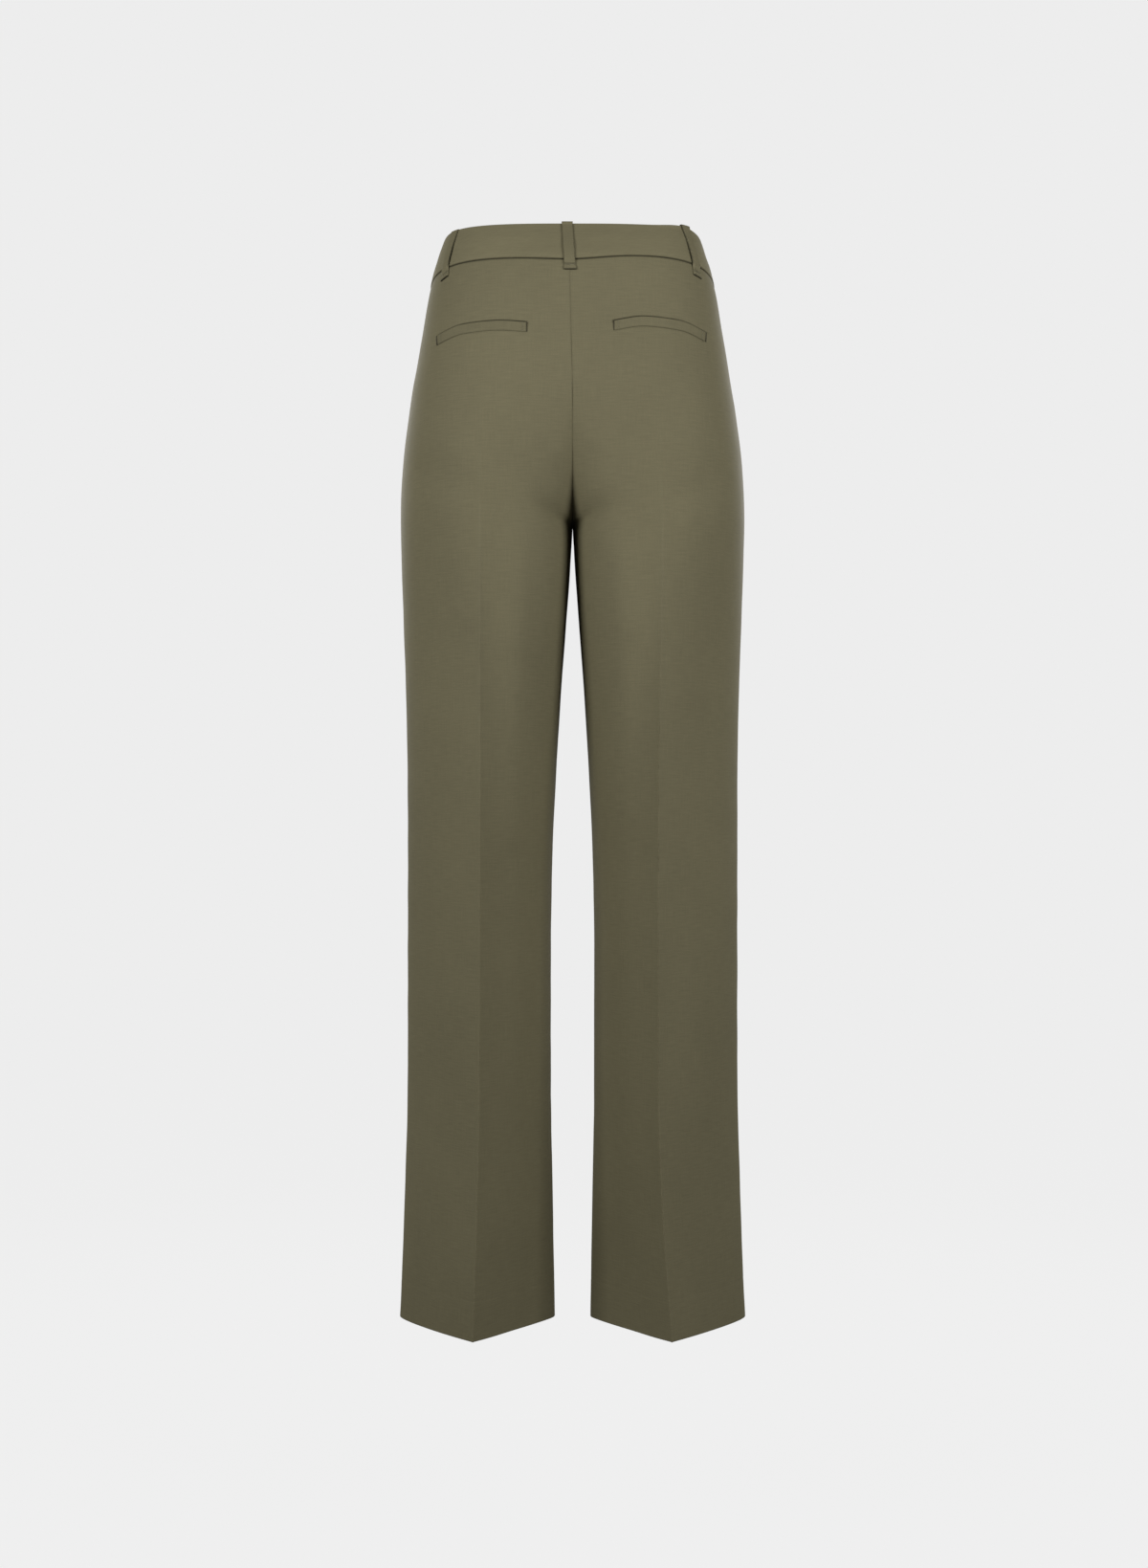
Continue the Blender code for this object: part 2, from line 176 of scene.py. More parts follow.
table = read_table(LEVELS)
FORM = {name: Track(table["drop"], values) for name, values in table.items() if name != "drop"}
CREASES = {side: Track(CREASE_DROPS, places) for side, places in CREASE_PLACES.items()}
print("levels:", len(table["drop"]), "sizes at each:", len(FORM))

# %% [markdown]
# ## The section
#
# Cut the garment level and each quarter is a rounded arc, squarer at the waist and an
# ellipse at the knee. Where the trousers become two legs, the middle plane cuts the arc
# less and less openly until the leg closes. The pressed crease pulls the arc towards
# two straight sides that meet at a peak. The half towards the middle has a roundness and
# a pull of its own: below the fork the cloth runs flat almost to the inner leg and only
# then turns. A formula with those few sizes is exact at every level, where a sculpted
# mesh would only be close.

# %% Section of one quarter
TENT_TURNS = 0.5             # share of the section over which one tent becomes the other


def smooth_step(value):
    value = np.clip(value, 0, 1)
    return value * value * (3 - 2 * value)


def sections(side, face, drops):
    """Sizes of the half section at each drop (metres), shaped to spread over columns."""
    level = np.asarray(drops) / MM
    size = {name: track.at(level)[:, None] for name, track in FORM.items()}
    opening = np.radians(size["seat"] if face == BACK else size["belly"])
    inward = size["square_in"]
    past = np.maximum(0.0, 1 - np.sin(opening) ** inward) ** (1 / inward)
    inner = size["inner"] * MM + JOIN / 2
    if face == BACK:
        inner = inner + side * size["seam"] * MM
    reach = (size["half"] * MM - inner) / (1 + past)
    middle = inner + reach * past
    depth = (size["back"] if face == BACK else size["front"]) * MM
    peak = (CREASES[side].at(level)[:, None] * MM - middle) / reach
    return SimpleNamespace(first=-past, middle=middle, reach=reach, depth=depth, peak=peak,
                           power=size["square"], power_in=inward,
                           tent=size["tent"], tent_in=size["tent_in"])


def depth_of(section, across):
    """Depth of the cloth from the side seams' plane, at places from the inner end to 1."""
    power = np.where(across < 0, section.power_in, section.power)
    rounded = np.maximum(0.0, 1 - np.abs(across) ** power) ** (1 / power)
    rising = (1 + across) / (1 + section.peak)
    falling = (1 - across) / (1 - section.peak)
    creased = np.where(across < section.peak, rising, falling)
    outward = smooth_step((across - section.peak) / TENT_TURNS + 1)
    tent = section.tent_in + (section.tent - section.tent_in) * outward
    return section.depth * ((1 - tent) * rounded + tent * creased)


def surface(side, face, x, drop):
    """Points of the form at x from the middle plane, with outward normals and tangents."""
    x, drop = np.broadcast_arrays(np.asarray(x, float), np.asarray(drop, float))
    shape = x.shape
    x = x.ravel()[:, None]
    nudge = 0.5 * MM

    def depth(place, level):
        section = sections(side, face, level.ravel())
        return depth_of(section, np.clip((place - section.middle) / section.reach, -1, 1))

    level = np.maximum(drop.ravel(), nudge)
    here = depth(x, level)
    sideways = (depth(x + nudge, level) - depth(x - nudge, level)) / (2 * nudge)
    downwards = (depth(x, level + nudge) - depth(x, level - nudge)) / (2 * nudge)
    flat = np.zeros_like(x)
    points = np.hstack([side * x, face * (here + JOIN / 2), -drop.ravel()[:, None]])
    normals = np.hstack([-side * sideways, face + flat, downwards])
    tangents = np.hstack([side + flat, face * sideways, flat])
    normals /= np.linalg.norm(normals, axis=1, keepdims=True)
    tangents /= np.linalg.norm(tangents, axis=1, keepdims=True)
    return [part.reshape(*shape, 3) for part in (points, normals, tangents)]


# %% [markdown]
# ## A grid of cloth
#
# Each panel is a grid that follows its threads: columns run down the leg and rows run
# round it. A plane cut into squares would be simpler, but near a seam and at the pressed
# crease the cloth turns within a millimetre or two. The lines stand closer there, which
# costs far less than a fine grid everywhere.

# %% Levels of one quarter
AT_SEAM = np.array([0.0, 0.3, 0.7, 1.3, 2.2, 3.5, 5.2]) * MM
AT_CREASE = np.array([0.0, 0.5, 1.2, 2.4, 4.2]) * MM
BETWEEN = 30                 # columns between seam and crease
SAMPLES = 80


def stretch(section, start, end, seam_first):
    """Points (x, y) along the cloth between two places of a section, and their distances."""
    first = np.arccos(-start)
    last = np.arccos(-end)
    across = -np.cos(first + (last - first) * np.linspace(0, 1, SAMPLES)[None, :])
    x = section.middle + across * section.reach
    y = depth_of(section, across) + JOIN / 2
    hops = np.hypot(np.diff(x, axis=1), np.diff(y, axis=1))
    run = np.concatenate([np.zeros((len(x), 1)), np.cumsum(hops, axis=1)], axis=1)
    rows = []
    for i in range(len(x)):
        length = run[i, -1]
        middle = np.linspace(AT_SEAM[-1], length - AT_CREASE[-1], BETWEEN)[1:-1]
        places = np.concatenate([AT_SEAM, middle, length - AT_CREASE[::-1]])
        if not seam_first:
            places = length - places[::-1]
        rows.append([np.interp(places, run[i], x[i]), np.interp(places, run[i], y[i]), places])
    return np.array(rows).transpose(0, 2, 1), run[:, -1:]


def levels(side, face):
    """x, y, and distances from the inner edge and the crease, for every millimetre of drop."""
    section = sections(side, face, np.arange(0, OUTSEAM / MM + 1) * MM)
    near, near_length = stretch(section, section.first, section.peak, True)
    far, _ = stretch(section, section.peak, np.ones_like(section.peak), False)
    far[:, :, 2] += near_length
    whole = np.concatenate([near, far[:, 1:]], axis=1)
    from_crease = whole[:, :, 2] - near_length
    return np.concatenate([whole, from_crease[:, :, None]], axis=2)


QUARTERS = [(side, face) for side in (LEFT, RIGHT) for face in (BACK, FRONT)]
LEVELS_OF = {key: levels(*key) for key in QUARTERS}
print("levels a millimetre apart and columns:", LEVELS_OF[LEFT, BACK].shape[:2])

# %% [markdown]
# ## Easing the fork
#
# Worked out level by level, the form bends a little too sharply where the torso becomes
# two legs, while real cloth bridges such a bend. Averaging each column over about two
# centimetres of its own length eases it. The average fades out towards the inseam, which
# has to stay on its line, or the legs would open.

# %% Ease the form down its length
EASE = 12                    # millimetres
EASED_FROM = 12 * MM         # distance from the inseam where the easing starts
EASED_OVER = 60 * MM


def eased(grid):
    reach = 3 * EASE
    weights = np.exp(-0.5 * (np.arange(-reach, reach + 1) / EASE) ** 2)
    weights /= weights.sum()
    start = 2 * grid[:1] - grid[reach:0:-1]
    end = 2 * grid[-1:] - grid[-2:-reach - 2:-1]
    padded = np.concatenate([start, grid, end])
    soft = sum(weight * padded[i:i + len(grid)] for i, weight in enumerate(weights))
    share = smooth_step((grid[:, :, 2:3] - EASED_FROM) / EASED_OVER)
    result = grid.copy()
    result[:, :, :2] += (soft - grid)[:, :, :2] * share
    return result


for key, grid in LEVELS_OF.items():
    LEVELS_OF[key] = eased(grid)
    print("eased by at most", round(float(np.abs(LEVELS_OF[key] - grid).max()) / MM, 2), "mm")

# %% [markdown]
# ## Rows that follow the sewing
#
# The waist is cut higher behind: its line sinks towards the side seams and stays low all
# round the front. Behind, the waist seam also bows upwards a little, and the pocket
# mouths are arched. If the rows stayed level, these edges would cut across them in steps.
# So a row near a seam or a mouth takes its line and the rows beyond fade back to level,
# as a dressmaker's pattern is bent.

# %% Rows near the waist
WAIST_RISE = {LEFT: 2.4, RIGHT: 5.2}    # mm that the seam bows up behind
RISE_FADES = 100.0           # drop in mm where bow and slope have faded out
TOP_DIP = 8.2 * MM           # how far the waist sinks from the back to the front
SEAM_DIP = 10.5 * MM
TOP_DIP_WIDTH = 31 * MM      # how far round the back the sinking reaches
SEAM_DIP_WIDTH = 57 * MM
TOP_RISE = 0.7 * MM          # how far the band's top edge stands up behind
HITCH = 2.4 * MM             # a loop hitches the edge up on the right
HITCH_PLACE = 105 * MM
HITCH_IN, HITCH_OUT = 20, 13  # mm, its width on either side
CAD_CROWDING = 0.3           # how the solid's columns crowd towards its seams


def evened(share):
    """Undoes the crowding of the solid's columns near its seams."""
    wide = 1 + CAD_CROWDING
    return (wide - np.sqrt(wide ** 2 - 4 * CAD_CROWDING * share)) / (2 * CAD_CROWDING)


def waist_dip(face, away, drop):
    """How far the waist sinks, at a distance from the side seam; the whole front lies lower."""
    fade = np.clip((RISE_FADES * MM - drop) / (RISE_FADES * MM - BAND_HEIGHT), 0, 1)
    share = np.clip(drop / BAND_HEIGHT, 0, 1)
    deep = TOP_DIP + (SEAM_DIP - TOP_DIP) * share
    width = TOP_DIP_WIDTH + (SEAM_DIP_WIDTH - TOP_DIP_WIDTH) * share
    reach = np.exp(-(away / width) ** 2) if face == BACK else 1.0
    return deep * smooth_step(fade) * reach


def top_rise(side, face, x, drop):
    """How far the band's upper edge stands up behind."""
    if face == FRONT:
        return 0.0
    total = TOP_RISE + 0 * x
    if side == RIGHT:
        width = np.where(x < HITCH_PLACE, HITCH_IN, HITCH_OUT) * MM
        total = total + HITCH * np.exp(-((x - HITCH_PLACE) / width) ** 2)
    return total * np.clip(1 - drop / BAND_HEIGHT, 0, 1)


def waist_bow(side, face, grid, drop):
    """How far the rows near the waist seam rise."""
    if face == FRONT:
        return 0.0
    seam = BAND_HEIGHT / MM
    fade = np.minimum(drop / MM / seam, (RISE_FADES - drop / MM) / (RISE_FADES - seam))
    inner = grid[:, :, 2] / (grid[:, :, 2] - grid[:, :, 3])
    outer = grid[:, :, 3] / grid[:, -1:, 3]
    place = np.where(grid[:, :, 3] <= 0, 0.5 * (1 - evened(np.clip(1 - inner, 0, 1))),
                     0.5 + 0.5 * evened(np.clip(outer, 0, 1)))
    return WAIST_RISE[side] * MM * np.clip(fade, 0, 1) * np.sin(np.pi * place) ** 2


# %% Rows near the pockets
WELTS = """
side  near  far    near_drop  top_drop  bend_drop  far_drop
1     42.3  128.6  101.1      98.9      100.0      107.0
-1    38.2  126.2  99.8       94.8      96.4       104.3
"""
ARCH = (0.0, 0.35, 0.7, 1.0)  # places of the four drops along a mouth
WELT_HEIGHT = 9.1 * MM
WELT_ROW = 98 * MM           # the level row that becomes the pocket's mouth
# how far from a mouth its bow begins, and the length over which it comes in
BOW_NEAR = (26 * MM, 24 * MM)
BOW_FAR = (16 * MM, 14 * MM)
BOW_DOWN = (38 * MM, 24 * MM)

welts = read_table(WELTS)
MOUTHS = {}
for i, side in enumerate((LEFT, RIGHT)):
    drops = [welts[name][i] for name in ("near_drop", "top_drop", "bend_drop", "far_drop")]
    MOUTHS[side] = SimpleNamespace(near=welts["near"][i] * MM, far=welts["far"][i] * MM,
                                   arch=Track(ARCH, drops))


def mouth_drop(side, x):
    """Drop of a pocket's mouth at x from the middle plane."""
    mouth = MOUTHS[side]
    return mouth.arch.at((x - mouth.near) / (mouth.far - mouth.near)) * MM


def mouth_bow(side, face, x, drop):
    """How far the rows near a pocket's mouth leave their level."""
    if face == FRONT:
        return 0.0
    mouth = MOUTHS[side]
    near_end = smooth_step((x - mouth.near + BOW_NEAR[0]) / BOW_NEAR[1])
    far_end = smooth_step((mouth.far + BOW_FAR[0] - x) / BOW_FAR[1])
    away = np.abs(drop - WELT_ROW - WELT_HEIGHT / 2)
    beside = smooth_step((BOW_DOWN[0] - away) / BOW_DOWN[1])
    return (mouth_drop(side, x) - WELT_ROW) * (near_end * far_end) * beside


# %% Grid of a quarter
def filled(fixed, step):
    """Places between fixed ones, no further apart than a step."""
    fixed = np.unique(np.round(fixed, 6))
    places = [fixed[:1]]
    for a, b in zip(fixed, fixed[1:]):
        count = max(1, math.ceil((b - a) / step - 0.01))
        places.append(np.linspace(a, b, count + 1)[1:])
    return np.concatenate(places)


def quarter(side, face, drops):
    """A quarter of the garment as a grid of cloth, with rows at the drops given."""
    dense = LEVELS_OF[side, face]
    drops = np.asarray(drops, float)[:, None] + np.zeros((1, dense.shape[1]))

    def read(wanted):
        place = np.clip(wanted / MM, 0, len(dense) - 1.001)
        i = place.astype(int)
        f = (place - i)[:, :, None]
        j = np.arange(dense.shape[1])[None, :]
        return dense[i, j] * (1 - f) + dense[i + 1, j] * f

    level = read(drops)
    x = level[:, :, 0]
    wanted = drops - waist_bow(side, face, level, drops) + mouth_bow(side, face, x, drops)
    wanted += waist_dip(face, np.hypot(x[:, -1:] - x, level[:, :, 1]), drops)
    wanted -= top_rise(side, face, x, drops)
    grid = read(wanted)
    points = np.stack([side * grid[:, :, 0], face * grid[:, :, 1], -wanted], axis=2)
    return SimpleNamespace(side=side, face=face, points=points, x=grid[:, :, 0], drop=wanted,
                           from_inner=grid[:, :, 2], from_crease=grid[:, :, 3],
                           from_side=grid[:, -1:, 2] - grid[:, :, 2])


# %% [markdown]
# ## Soft folds
#
# Cloth is never as smooth as a formula. The main folds are listed in the table, one row for each: where
# it starts and ends, how wide it is and how far it stands out or sinks in. Sculpting would work too,
# but a fold in a table can be read and moved.
# They are the pull from hip to fork, the hollow under the seat, the bends behind the knee
# and the long slack waves of a wide leg. The hidden front gets folds of the same kind.

# %% Folds
# side, face: which quarter      x1, drop1, x2, drop2: ends in mm from the middle and the waist
# wide: mm across                high: mm out (in, where it is negative)
FOLDS = """
side face x1   drop1 x2   drop2 wide high
1    1    150  128   128  232   24   1.10
1    1    118  205   62   262   15   0.80
1    1    150  226   96   262   17   -1.30
1    1    84   232   22   276   13   -0.35
1    1    60   192   18   236   16   0.70
1    1    52   292   60   420   17   1.10
1    1    34   300   30   452   11   -0.80
1    1    128  300   142  470   20   -1.00
1    1    104  430   112  640   17   0.70
1    1    52   560   66   800   16   -0.80
1    1    136  640   128  860   19   -0.90
1    1    118  860   126  1040  20   0.90
1    1    44   880   52   1040  17   0.70
1    1    30   596   74   604   13   -0.60
-1   1    146  150   116  226   22   1.20
-1   1    104  196   52   250   17   0.70
-1   1    152  238   84   272   15   -1.40
-1   1    70   238   18   274   12   -0.30
-1   1    48   176   16   218   15   0.60
-1   1    46   296   52   404   16   1.40
-1   1    30   310   27   480   11   -0.90
-1   1    140  318   132  520   19   -0.90
-1   1    102  590   94   820   15   -1.10
-1   1    128  560   132  800   18   0.80
-1   1    58   640   50   860   17   0.80
-1   1    122  850   118  1040  20   -1.00
-1   1    52   900   46   1030  16   -0.60
-1   1    40   612   92   600   14   -0.60
1    -1   122  150   40   232   17   0.90
1    -1   134  196   62   258   15   -1.20
1    -1   78   222   18   268   12   -1.00
1    -1   58   262   18   286   9    0.80
1    -1   118  300   128  520   20   -0.90
1    -1   48   330   56   540   16   0.90
1    -1   40   600   120  588   15   -0.70
1    -1   60   640   54   860   17   0.70
1    -1   132  700   124  930   19   -0.90
1    -1   66   900   58   1040  17   0.60
-1   -1   130  138   52   214   18   0.80
-1   -1   126  206   48   262   16   -1.30
-1   -1   70   236   20   272   11   -0.90
-1   -1   46   256   16   284   9    0.70
-1   -1   124  330   132  560   18   -1.00
-1   -1   44   340   52   520   15   0.80
-1   -1   46   616   112  606   15   -0.60
-1   -1   56   660   62   880   17   -0.70
-1   -1   128  680   132  900   19   0.80
-1   -1   60   920   50   1040  16   -0.60
"""
folds = read_table(FOLDS)


def rows_of(data, side, face):
    """The rows of a table that belong to one quarter."""
    return np.flatnonzero((data["side"] == side) & (data["face"] == face))


def fold_relief(side, face, x, drop):
    """How far the folds lift the cloth at places of one quarter."""
    total = np.zeros(np.broadcast(x, drop).shape)
    for i in rows_of(folds, side, face):
        start = np.array([folds["x1"][i], folds["drop1"][i]]) * MM
        along = np.array([folds["x2"][i], folds["drop2"][i]]) * MM - start
        length = np.hypot(*along)
        dx = x - start[0]
        dd = drop - start[1]
        place = (dx * along[0] + dd * along[1]) / length ** 2
        aside = (dx * along[1] - dd * along[0]) / length / (folds["wide"][i] * MM)
        ends = np.exp(-np.clip(np.abs(place - 0.5) - 0.28, 0, None) ** 2 / 0.035)
        total += folds["high"][i] * MM * ends * np.exp(-aside ** 2)
    return total


print("folds placed:", len(folds["side"]))

# %% [markdown]
# ## Slack and crinkles
#
# Between the folds the cloth still moves: slow waves a hand wide, and fine sideways
# crinkles where a wearer sat. A noise texture in the material could suggest both, but
# only real form catches the light and the outline. Each is a sum of a few sine waves
# with seeded directions, so every run gives the same trousers.

# %% Waves and crinkles
SLACK = 0.16 * MM            # height of the slow waves
CALM = 0.25                  # share of the soft form left at the stiff waistband
CALM_OVER = 26 * MM
# x, drop, size: middle and radius of a crinkled patch in mm      high: mm
CRINKLES = """
side face x    drop size high
1    1    78   172  46   0.085
1    1    108  250  52   0.075
-1   1    96   214  50   0.070
1    1    46   330  44   0.060
-1   1    56   332  48   0.065
1    1    38   602  20   0.110
-1   1    120  720  60   0.045
1    -1   88   236  52   0.080
-1   -1   82   246  52   0.080
1    -1   80   590  48   0.060
-1   -1   80   604  48   0.060
"""
crinkles = read_table(CRINKLES)


def ripples(seed, across, along, count, shortest, longest, lean):
    """A sum of waves, shortest to longest in mm; lean: widest angle of their crests, degrees."""
    rng = np.random.default_rng(seed)
    total = np.zeros(np.broadcast(across, along).shape)
    for _ in range(count):
        length = shortest * MM * (longest / shortest) ** rng.random()
        angle = math.radians(lean) * (2 * rng.random() - 1)
        phase = 2 * math.pi * rng.random()
        steps = along * math.cos(angle) + across * math.sin(angle)
        total += np.sin(2 * math.pi * steps / length + phase)
    return total / math.sqrt(count)


def soft_relief(side, face, x, drop):
    """All the soft form of a quarter: folds, slack waves and crinkles."""
    seed = 10 * (side + 1) + (face + 1)
    total = fold_relief(side, face, x, drop)
    total += SLACK * ripples(seed + 101, drop, side * x, 5, 55, 150, 24)
    total += SLACK / 2 * ripples(seed + 202, x, drop, 5, 40, 110, 40)
    for i in rows_of(crinkles, side, face):
        away = np.hypot(x - crinkles["x"][i] * MM, drop - crinkles["drop"][i] * MM)
        patch = np.exp(-(away / (crinkles["size"][i] * MM)) ** 2)
        total += crinkles["high"][i] * MM * patch * ripples(seed + i, x, drop, 9, 5.5, 11, 16)
    free = smooth_step((drop - BAND_HEIGHT) / CALM_OVER)
    return total * (CALM + (1 - CALM) * free)


print("crinkled patches:", len(crinkles["side"]))


# %% [markdown]
# ## Cloth with two faces
#
# A Solidify modifier could thicken a sheet, but it can't round a folded edge, and the hem is thicker
# than the leg. So each piece is built from two grids, its right side and its wrong side, and a rim
# joins them. Four attributes go with every point: where it lies on the grain of the cloth, how much
# painted shade darkens it in seams, mouths and at edges, how hard it was pressed and how far it is from
# a seam.

# %% Faces of a piece
SHARP = math.radians(48)


def rolled(distance, radius, depth):
    """How far an edge turns in, at a distance from it: a quarter of a circle."""
    f = np.clip(1 - distance / radius, 0, 1)
    return depth * (1 - np.sqrt(1 - f * f))


def ridge(distance, width):
    return np.exp(-(distance / width) ** 2)


def normals_of(points, turn):
    """Unit normals of a grid; turn is 1 or -1 and picks the outer side."""
    normals = np.cross(np.gradient(points, axis=0), np.gradient(points, axis=1)) * turn
    return normals / np.maximum(np.linalg.norm(normals, axis=2, keepdims=True), 1e-12)


def skins(form, normals, out, into):
    """The right and wrong sides of a piece, each so far from a form along its normals."""
    return form + normals * out[:, :, None], form + normals * into[:, :, None]


def grid_faces(rows, columns, first):
    i, j = np.meshgrid(np.arange(rows - 1), np.arange(columns - 1), indexing="ij")
    a = (first + i * columns + j).ravel()
    return np.stack([a, a + 1, a + columns + 1, a + columns], axis=1)


def rim_faces(rows, columns):
    number = np.arange(rows * columns).reshape(rows, columns)
    ring = np.concatenate([number[0], number[1:, -1], number[-1, -2::-1], number[-2:0:-1, 0]])
    after = np.roll(ring, -1)
    back = rows * columns
    return np.stack([after, ring, ring + back, after + back], axis=1)


# %% Build a piece of cloth
def new_object(name, mesh, *materials):
    for material in materials:
        mesh.materials.append(material)
    mesh.shade_smooth()
    mesh.set_sharp_from_angle(angle=SHARP)
    thing = bpy.data.objects.new(name, mesh)
    bpy.context.scene.collection.objects.link(thing)
    return thing


def attribute(mesh, name, kind, values):
    data = mesh.attributes.new(name, kind, "POINT")
    field = "vector" if kind == "FLOAT_VECTOR" else "value"
    data.data.foreach_set(field, np.ascontiguousarray(values, np.float32).ravel())


def cloth(name, sides, materials, grain, shade=0.0, press=0.0, seam=0.0):
    """A closed piece of cloth between two grids of points; its wrong side has the last material."""
    outer, inner = sides
    rows, columns, _ = outer.shape
    count = rows * columns
    right = grid_faces(rows, columns, 0)
    wrong = grid_faces(rows, columns, count)[:, ::-1]
    faces = np.concatenate([right, wrong, rim_faces(rows, columns)])
    i, j = rows // 2, columns // 2
    facing = np.cross(outer[i, j + 1] - outer[i, j], outer[i + 1, j] - outer[i, j])
    if np.dot(facing, inner[i, j] - outer[i, j]) > 0:
        faces = faces[:, ::-1]
    mesh = bpy.data.meshes.new(name)
    points = np.concatenate([outer.reshape(-1, 3), inner.reshape(-1, 3)])
    mesh.from_pydata(points.tolist(), [], faces.tolist())
    both = np.zeros((2, rows, columns))
    for key, values in (("shade", shade), ("press", press), ("seam", seam)):
        attribute(mesh, key, "FLOAT", both + values)
    across, along = grain
    attribute(mesh, "grain", "FLOAT_VECTOR", np.stack([both + across, both + along, both], axis=3))
    if len(materials) > 1:
        index = np.zeros(len(faces), np.int32)
        index[len(right):len(right) + len(wrong)] = 1
        mesh.polygons.foreach_set("material_index", index)
    print(f"{name}: {rows} x {columns} points a face, {2 * len(faces)} triangles")
    return new_object(name, mesh, *materials)


def dress(piece, node):
    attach(piece, "root")
    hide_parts(node)


# %% [markdown]
# ## Shader maths
#
# A material is a graph of nodes, and wiring it by hand hides the arithmetic. One small
# class wraps a socket so that a sum or a product written in Python adds the Math node for
# it. Colours go through Mix, and vectors through Vector Math, because a Math node would
# turn them grey. Everything else comes from one method, which sets the node up first.

# %% Sockets as numbers
class Flow:
    """A value on its way through a material. Arithmetic on it adds Math nodes."""

    def __init__(self, tree, socket):
        self.tree = tree
        self.socket = socket

    def math(self, operation, *values):
        node = self.tree.nodes.new("ShaderNodeMath")
        node.operation = operation
        for socket, value in zip(node.inputs, values):
            feed(self.tree, socket, value)
        return Flow(self.tree, node.outputs[0])

    def __add__(self, other):
        return self.math("ADD", self, other)

    def __sub__(self, other):
        return self.math("SUBTRACT", self, other)

    def __rsub__(self, other):
        return self.math("SUBTRACT", other, self)

    def __mul__(self, other):
        return self.math("MULTIPLY", self, other)

    __radd__ = __add__
    __rmul__ = __mul__

    def wave(self):
        """The sine of this value, between 0 and 1."""
        return self.math("SINE", self) * 0.5 + 0.5

    def above(self, low, high):
        """0 below low and 1 above high, with a soft step between."""
        node = self.tree.nodes.new("ShaderNodeMapRange")
        node.interpolation_type = "SMOOTHSTEP"
        for name, value in (("Value", self), ("From Min", low), ("From Max", high)):
            feed(self.tree, node.inputs[name], value)
        return Flow(self.tree, node.outputs["Result"])


def feed(tree, socket, value):
    if isinstance(value, Flow):
        tree.links.new(value.socket, socket)
    else:
        socket.default_value = value


# %% A finish in the making
class Finish:
    """A material; constants are set on the shader's own sockets."""

    def __init__(self, name, constants):
        self.material = bpy.data.materials.new(name)
        self.material.use_nodes = True
        self.tree = self.material.node_tree
        self.shader = self.tree.nodes["Principled BSDF"]
        for socket, value in constants.items():
            self.shader.inputs[socket].default_value = value

    def node(self, kind, settings=None, values=None, output=0):
        """Any node: its settings first, then the values or links of its sockets."""
        node = self.tree.nodes.new("ShaderNode" + kind)
        for name, value in (settings or {}).items():
            setattr(node, name, value)
        for name, value in (values or {}).items():
            feed(self.tree, node.inputs[name], value)
        return Flow(self.tree, node.outputs[output])

    def attribute(self, name, output="Fac"):
        return self.node("Attribute", {"attribute_name": name}, output=output)

    def parts(self, vector):
        split = self.node("SeparateXYZ", values={0: vector})
        return [Flow(self.tree, split.socket.node.outputs[i]) for i in range(3)]

    def noise(self, place, per_metre, detail=2.0):
        """Noise between 0 and 1; per_metre gives the grains to a metre each way."""
        scaled = self.node("VectorMath", {"operation": "MULTIPLY"}, {0: place, 1: per_metre})
        return self.node("TexNoise", values={"Vector": scaled, "Scale": 1.0, "Detail": detail})

    def blend(self, first, second, factor):
        """Two colours mixed; the sockets of a Mix node for colours come after its others."""
        return self.node("Mix", {"data_type": "RGBA"}, {0: factor, 6: first, 7: second}, output=2)

    def finish(self, colour, roughness, height, depth):
        """Connects the shader; height becomes bumps as deep as depth."""
        feed(self.tree, self.shader.inputs["Base Color"], colour)
        feed(self.tree, self.shader.inputs["Roughness"], roughness)
        bump = self.node("Bump", values={"Height": height, "Distance": depth, "Strength": 1.0})
        feed(self.tree, self.shader.inputs["Normal"], bump)
        print("finish:", self.material.name, len(self.tree.nodes), "nodes")
        return self.material


# %% [markdown]
# ## Suiting
#
# The cloth is a smooth, matt, fine twill. Its diagonal ribs are half a millimetre apart, so at arm's
# length only a faint grain is left, with slubs where a thread is thicker and slow clouds where the dye
# took unevenly. The shade attribute darkens the colour as painted shade in seams, pocket mouths and
# along the edges of the small pieces, and lightens the band as painted light. The iron leaves the
# crease smoother than the rest, and a painted sheen makes it a little lighter. The weave reads its
# place from the grain attribute and so bends with the cloth, which flat mapping from one side would not
# do.

# %% Suiting, right side
OLIVE = np.array([0.140, 0.126, 0.074])
DEEPEST = 0.25               # how dark painted shade, and how light clouds, slubs and the painted sheen on the crease, may make the cloth
LIGHTEST = 1.75
TWILL = 0.50 * MM
RIB = 0.035 * MM


def tone(colour, share):
    return (*[float(part * share) for part in colour], 1.0)


def twill(finish, grain):
    """Diagonal ribs of the weave, broken up a little, between 0 and 1."""
    across, along, _ = finish.parts(grain)
    turns = 2 * math.pi / TWILL
    wander = finish.noise(grain, (160, 160, 160)) * 2.4
    ribs = ((across + along * 0.8) * turns + wander).wave()
    threads = (across * (2.2 * turns)).wave() * (along * (1.7 * turns)).wave()
    return ribs * 0.7 + threads * 0.3


def fabric(name, colour, specular, sheen, sheen_roughness, tint):
    return Finish(name, {"Metallic": 0.0, "Specular IOR Level": specular, "Sheen Weight": sheen,
                         "Sheen Roughness": sheen_roughness, "Sheen Tint": tone(colour, tint)})


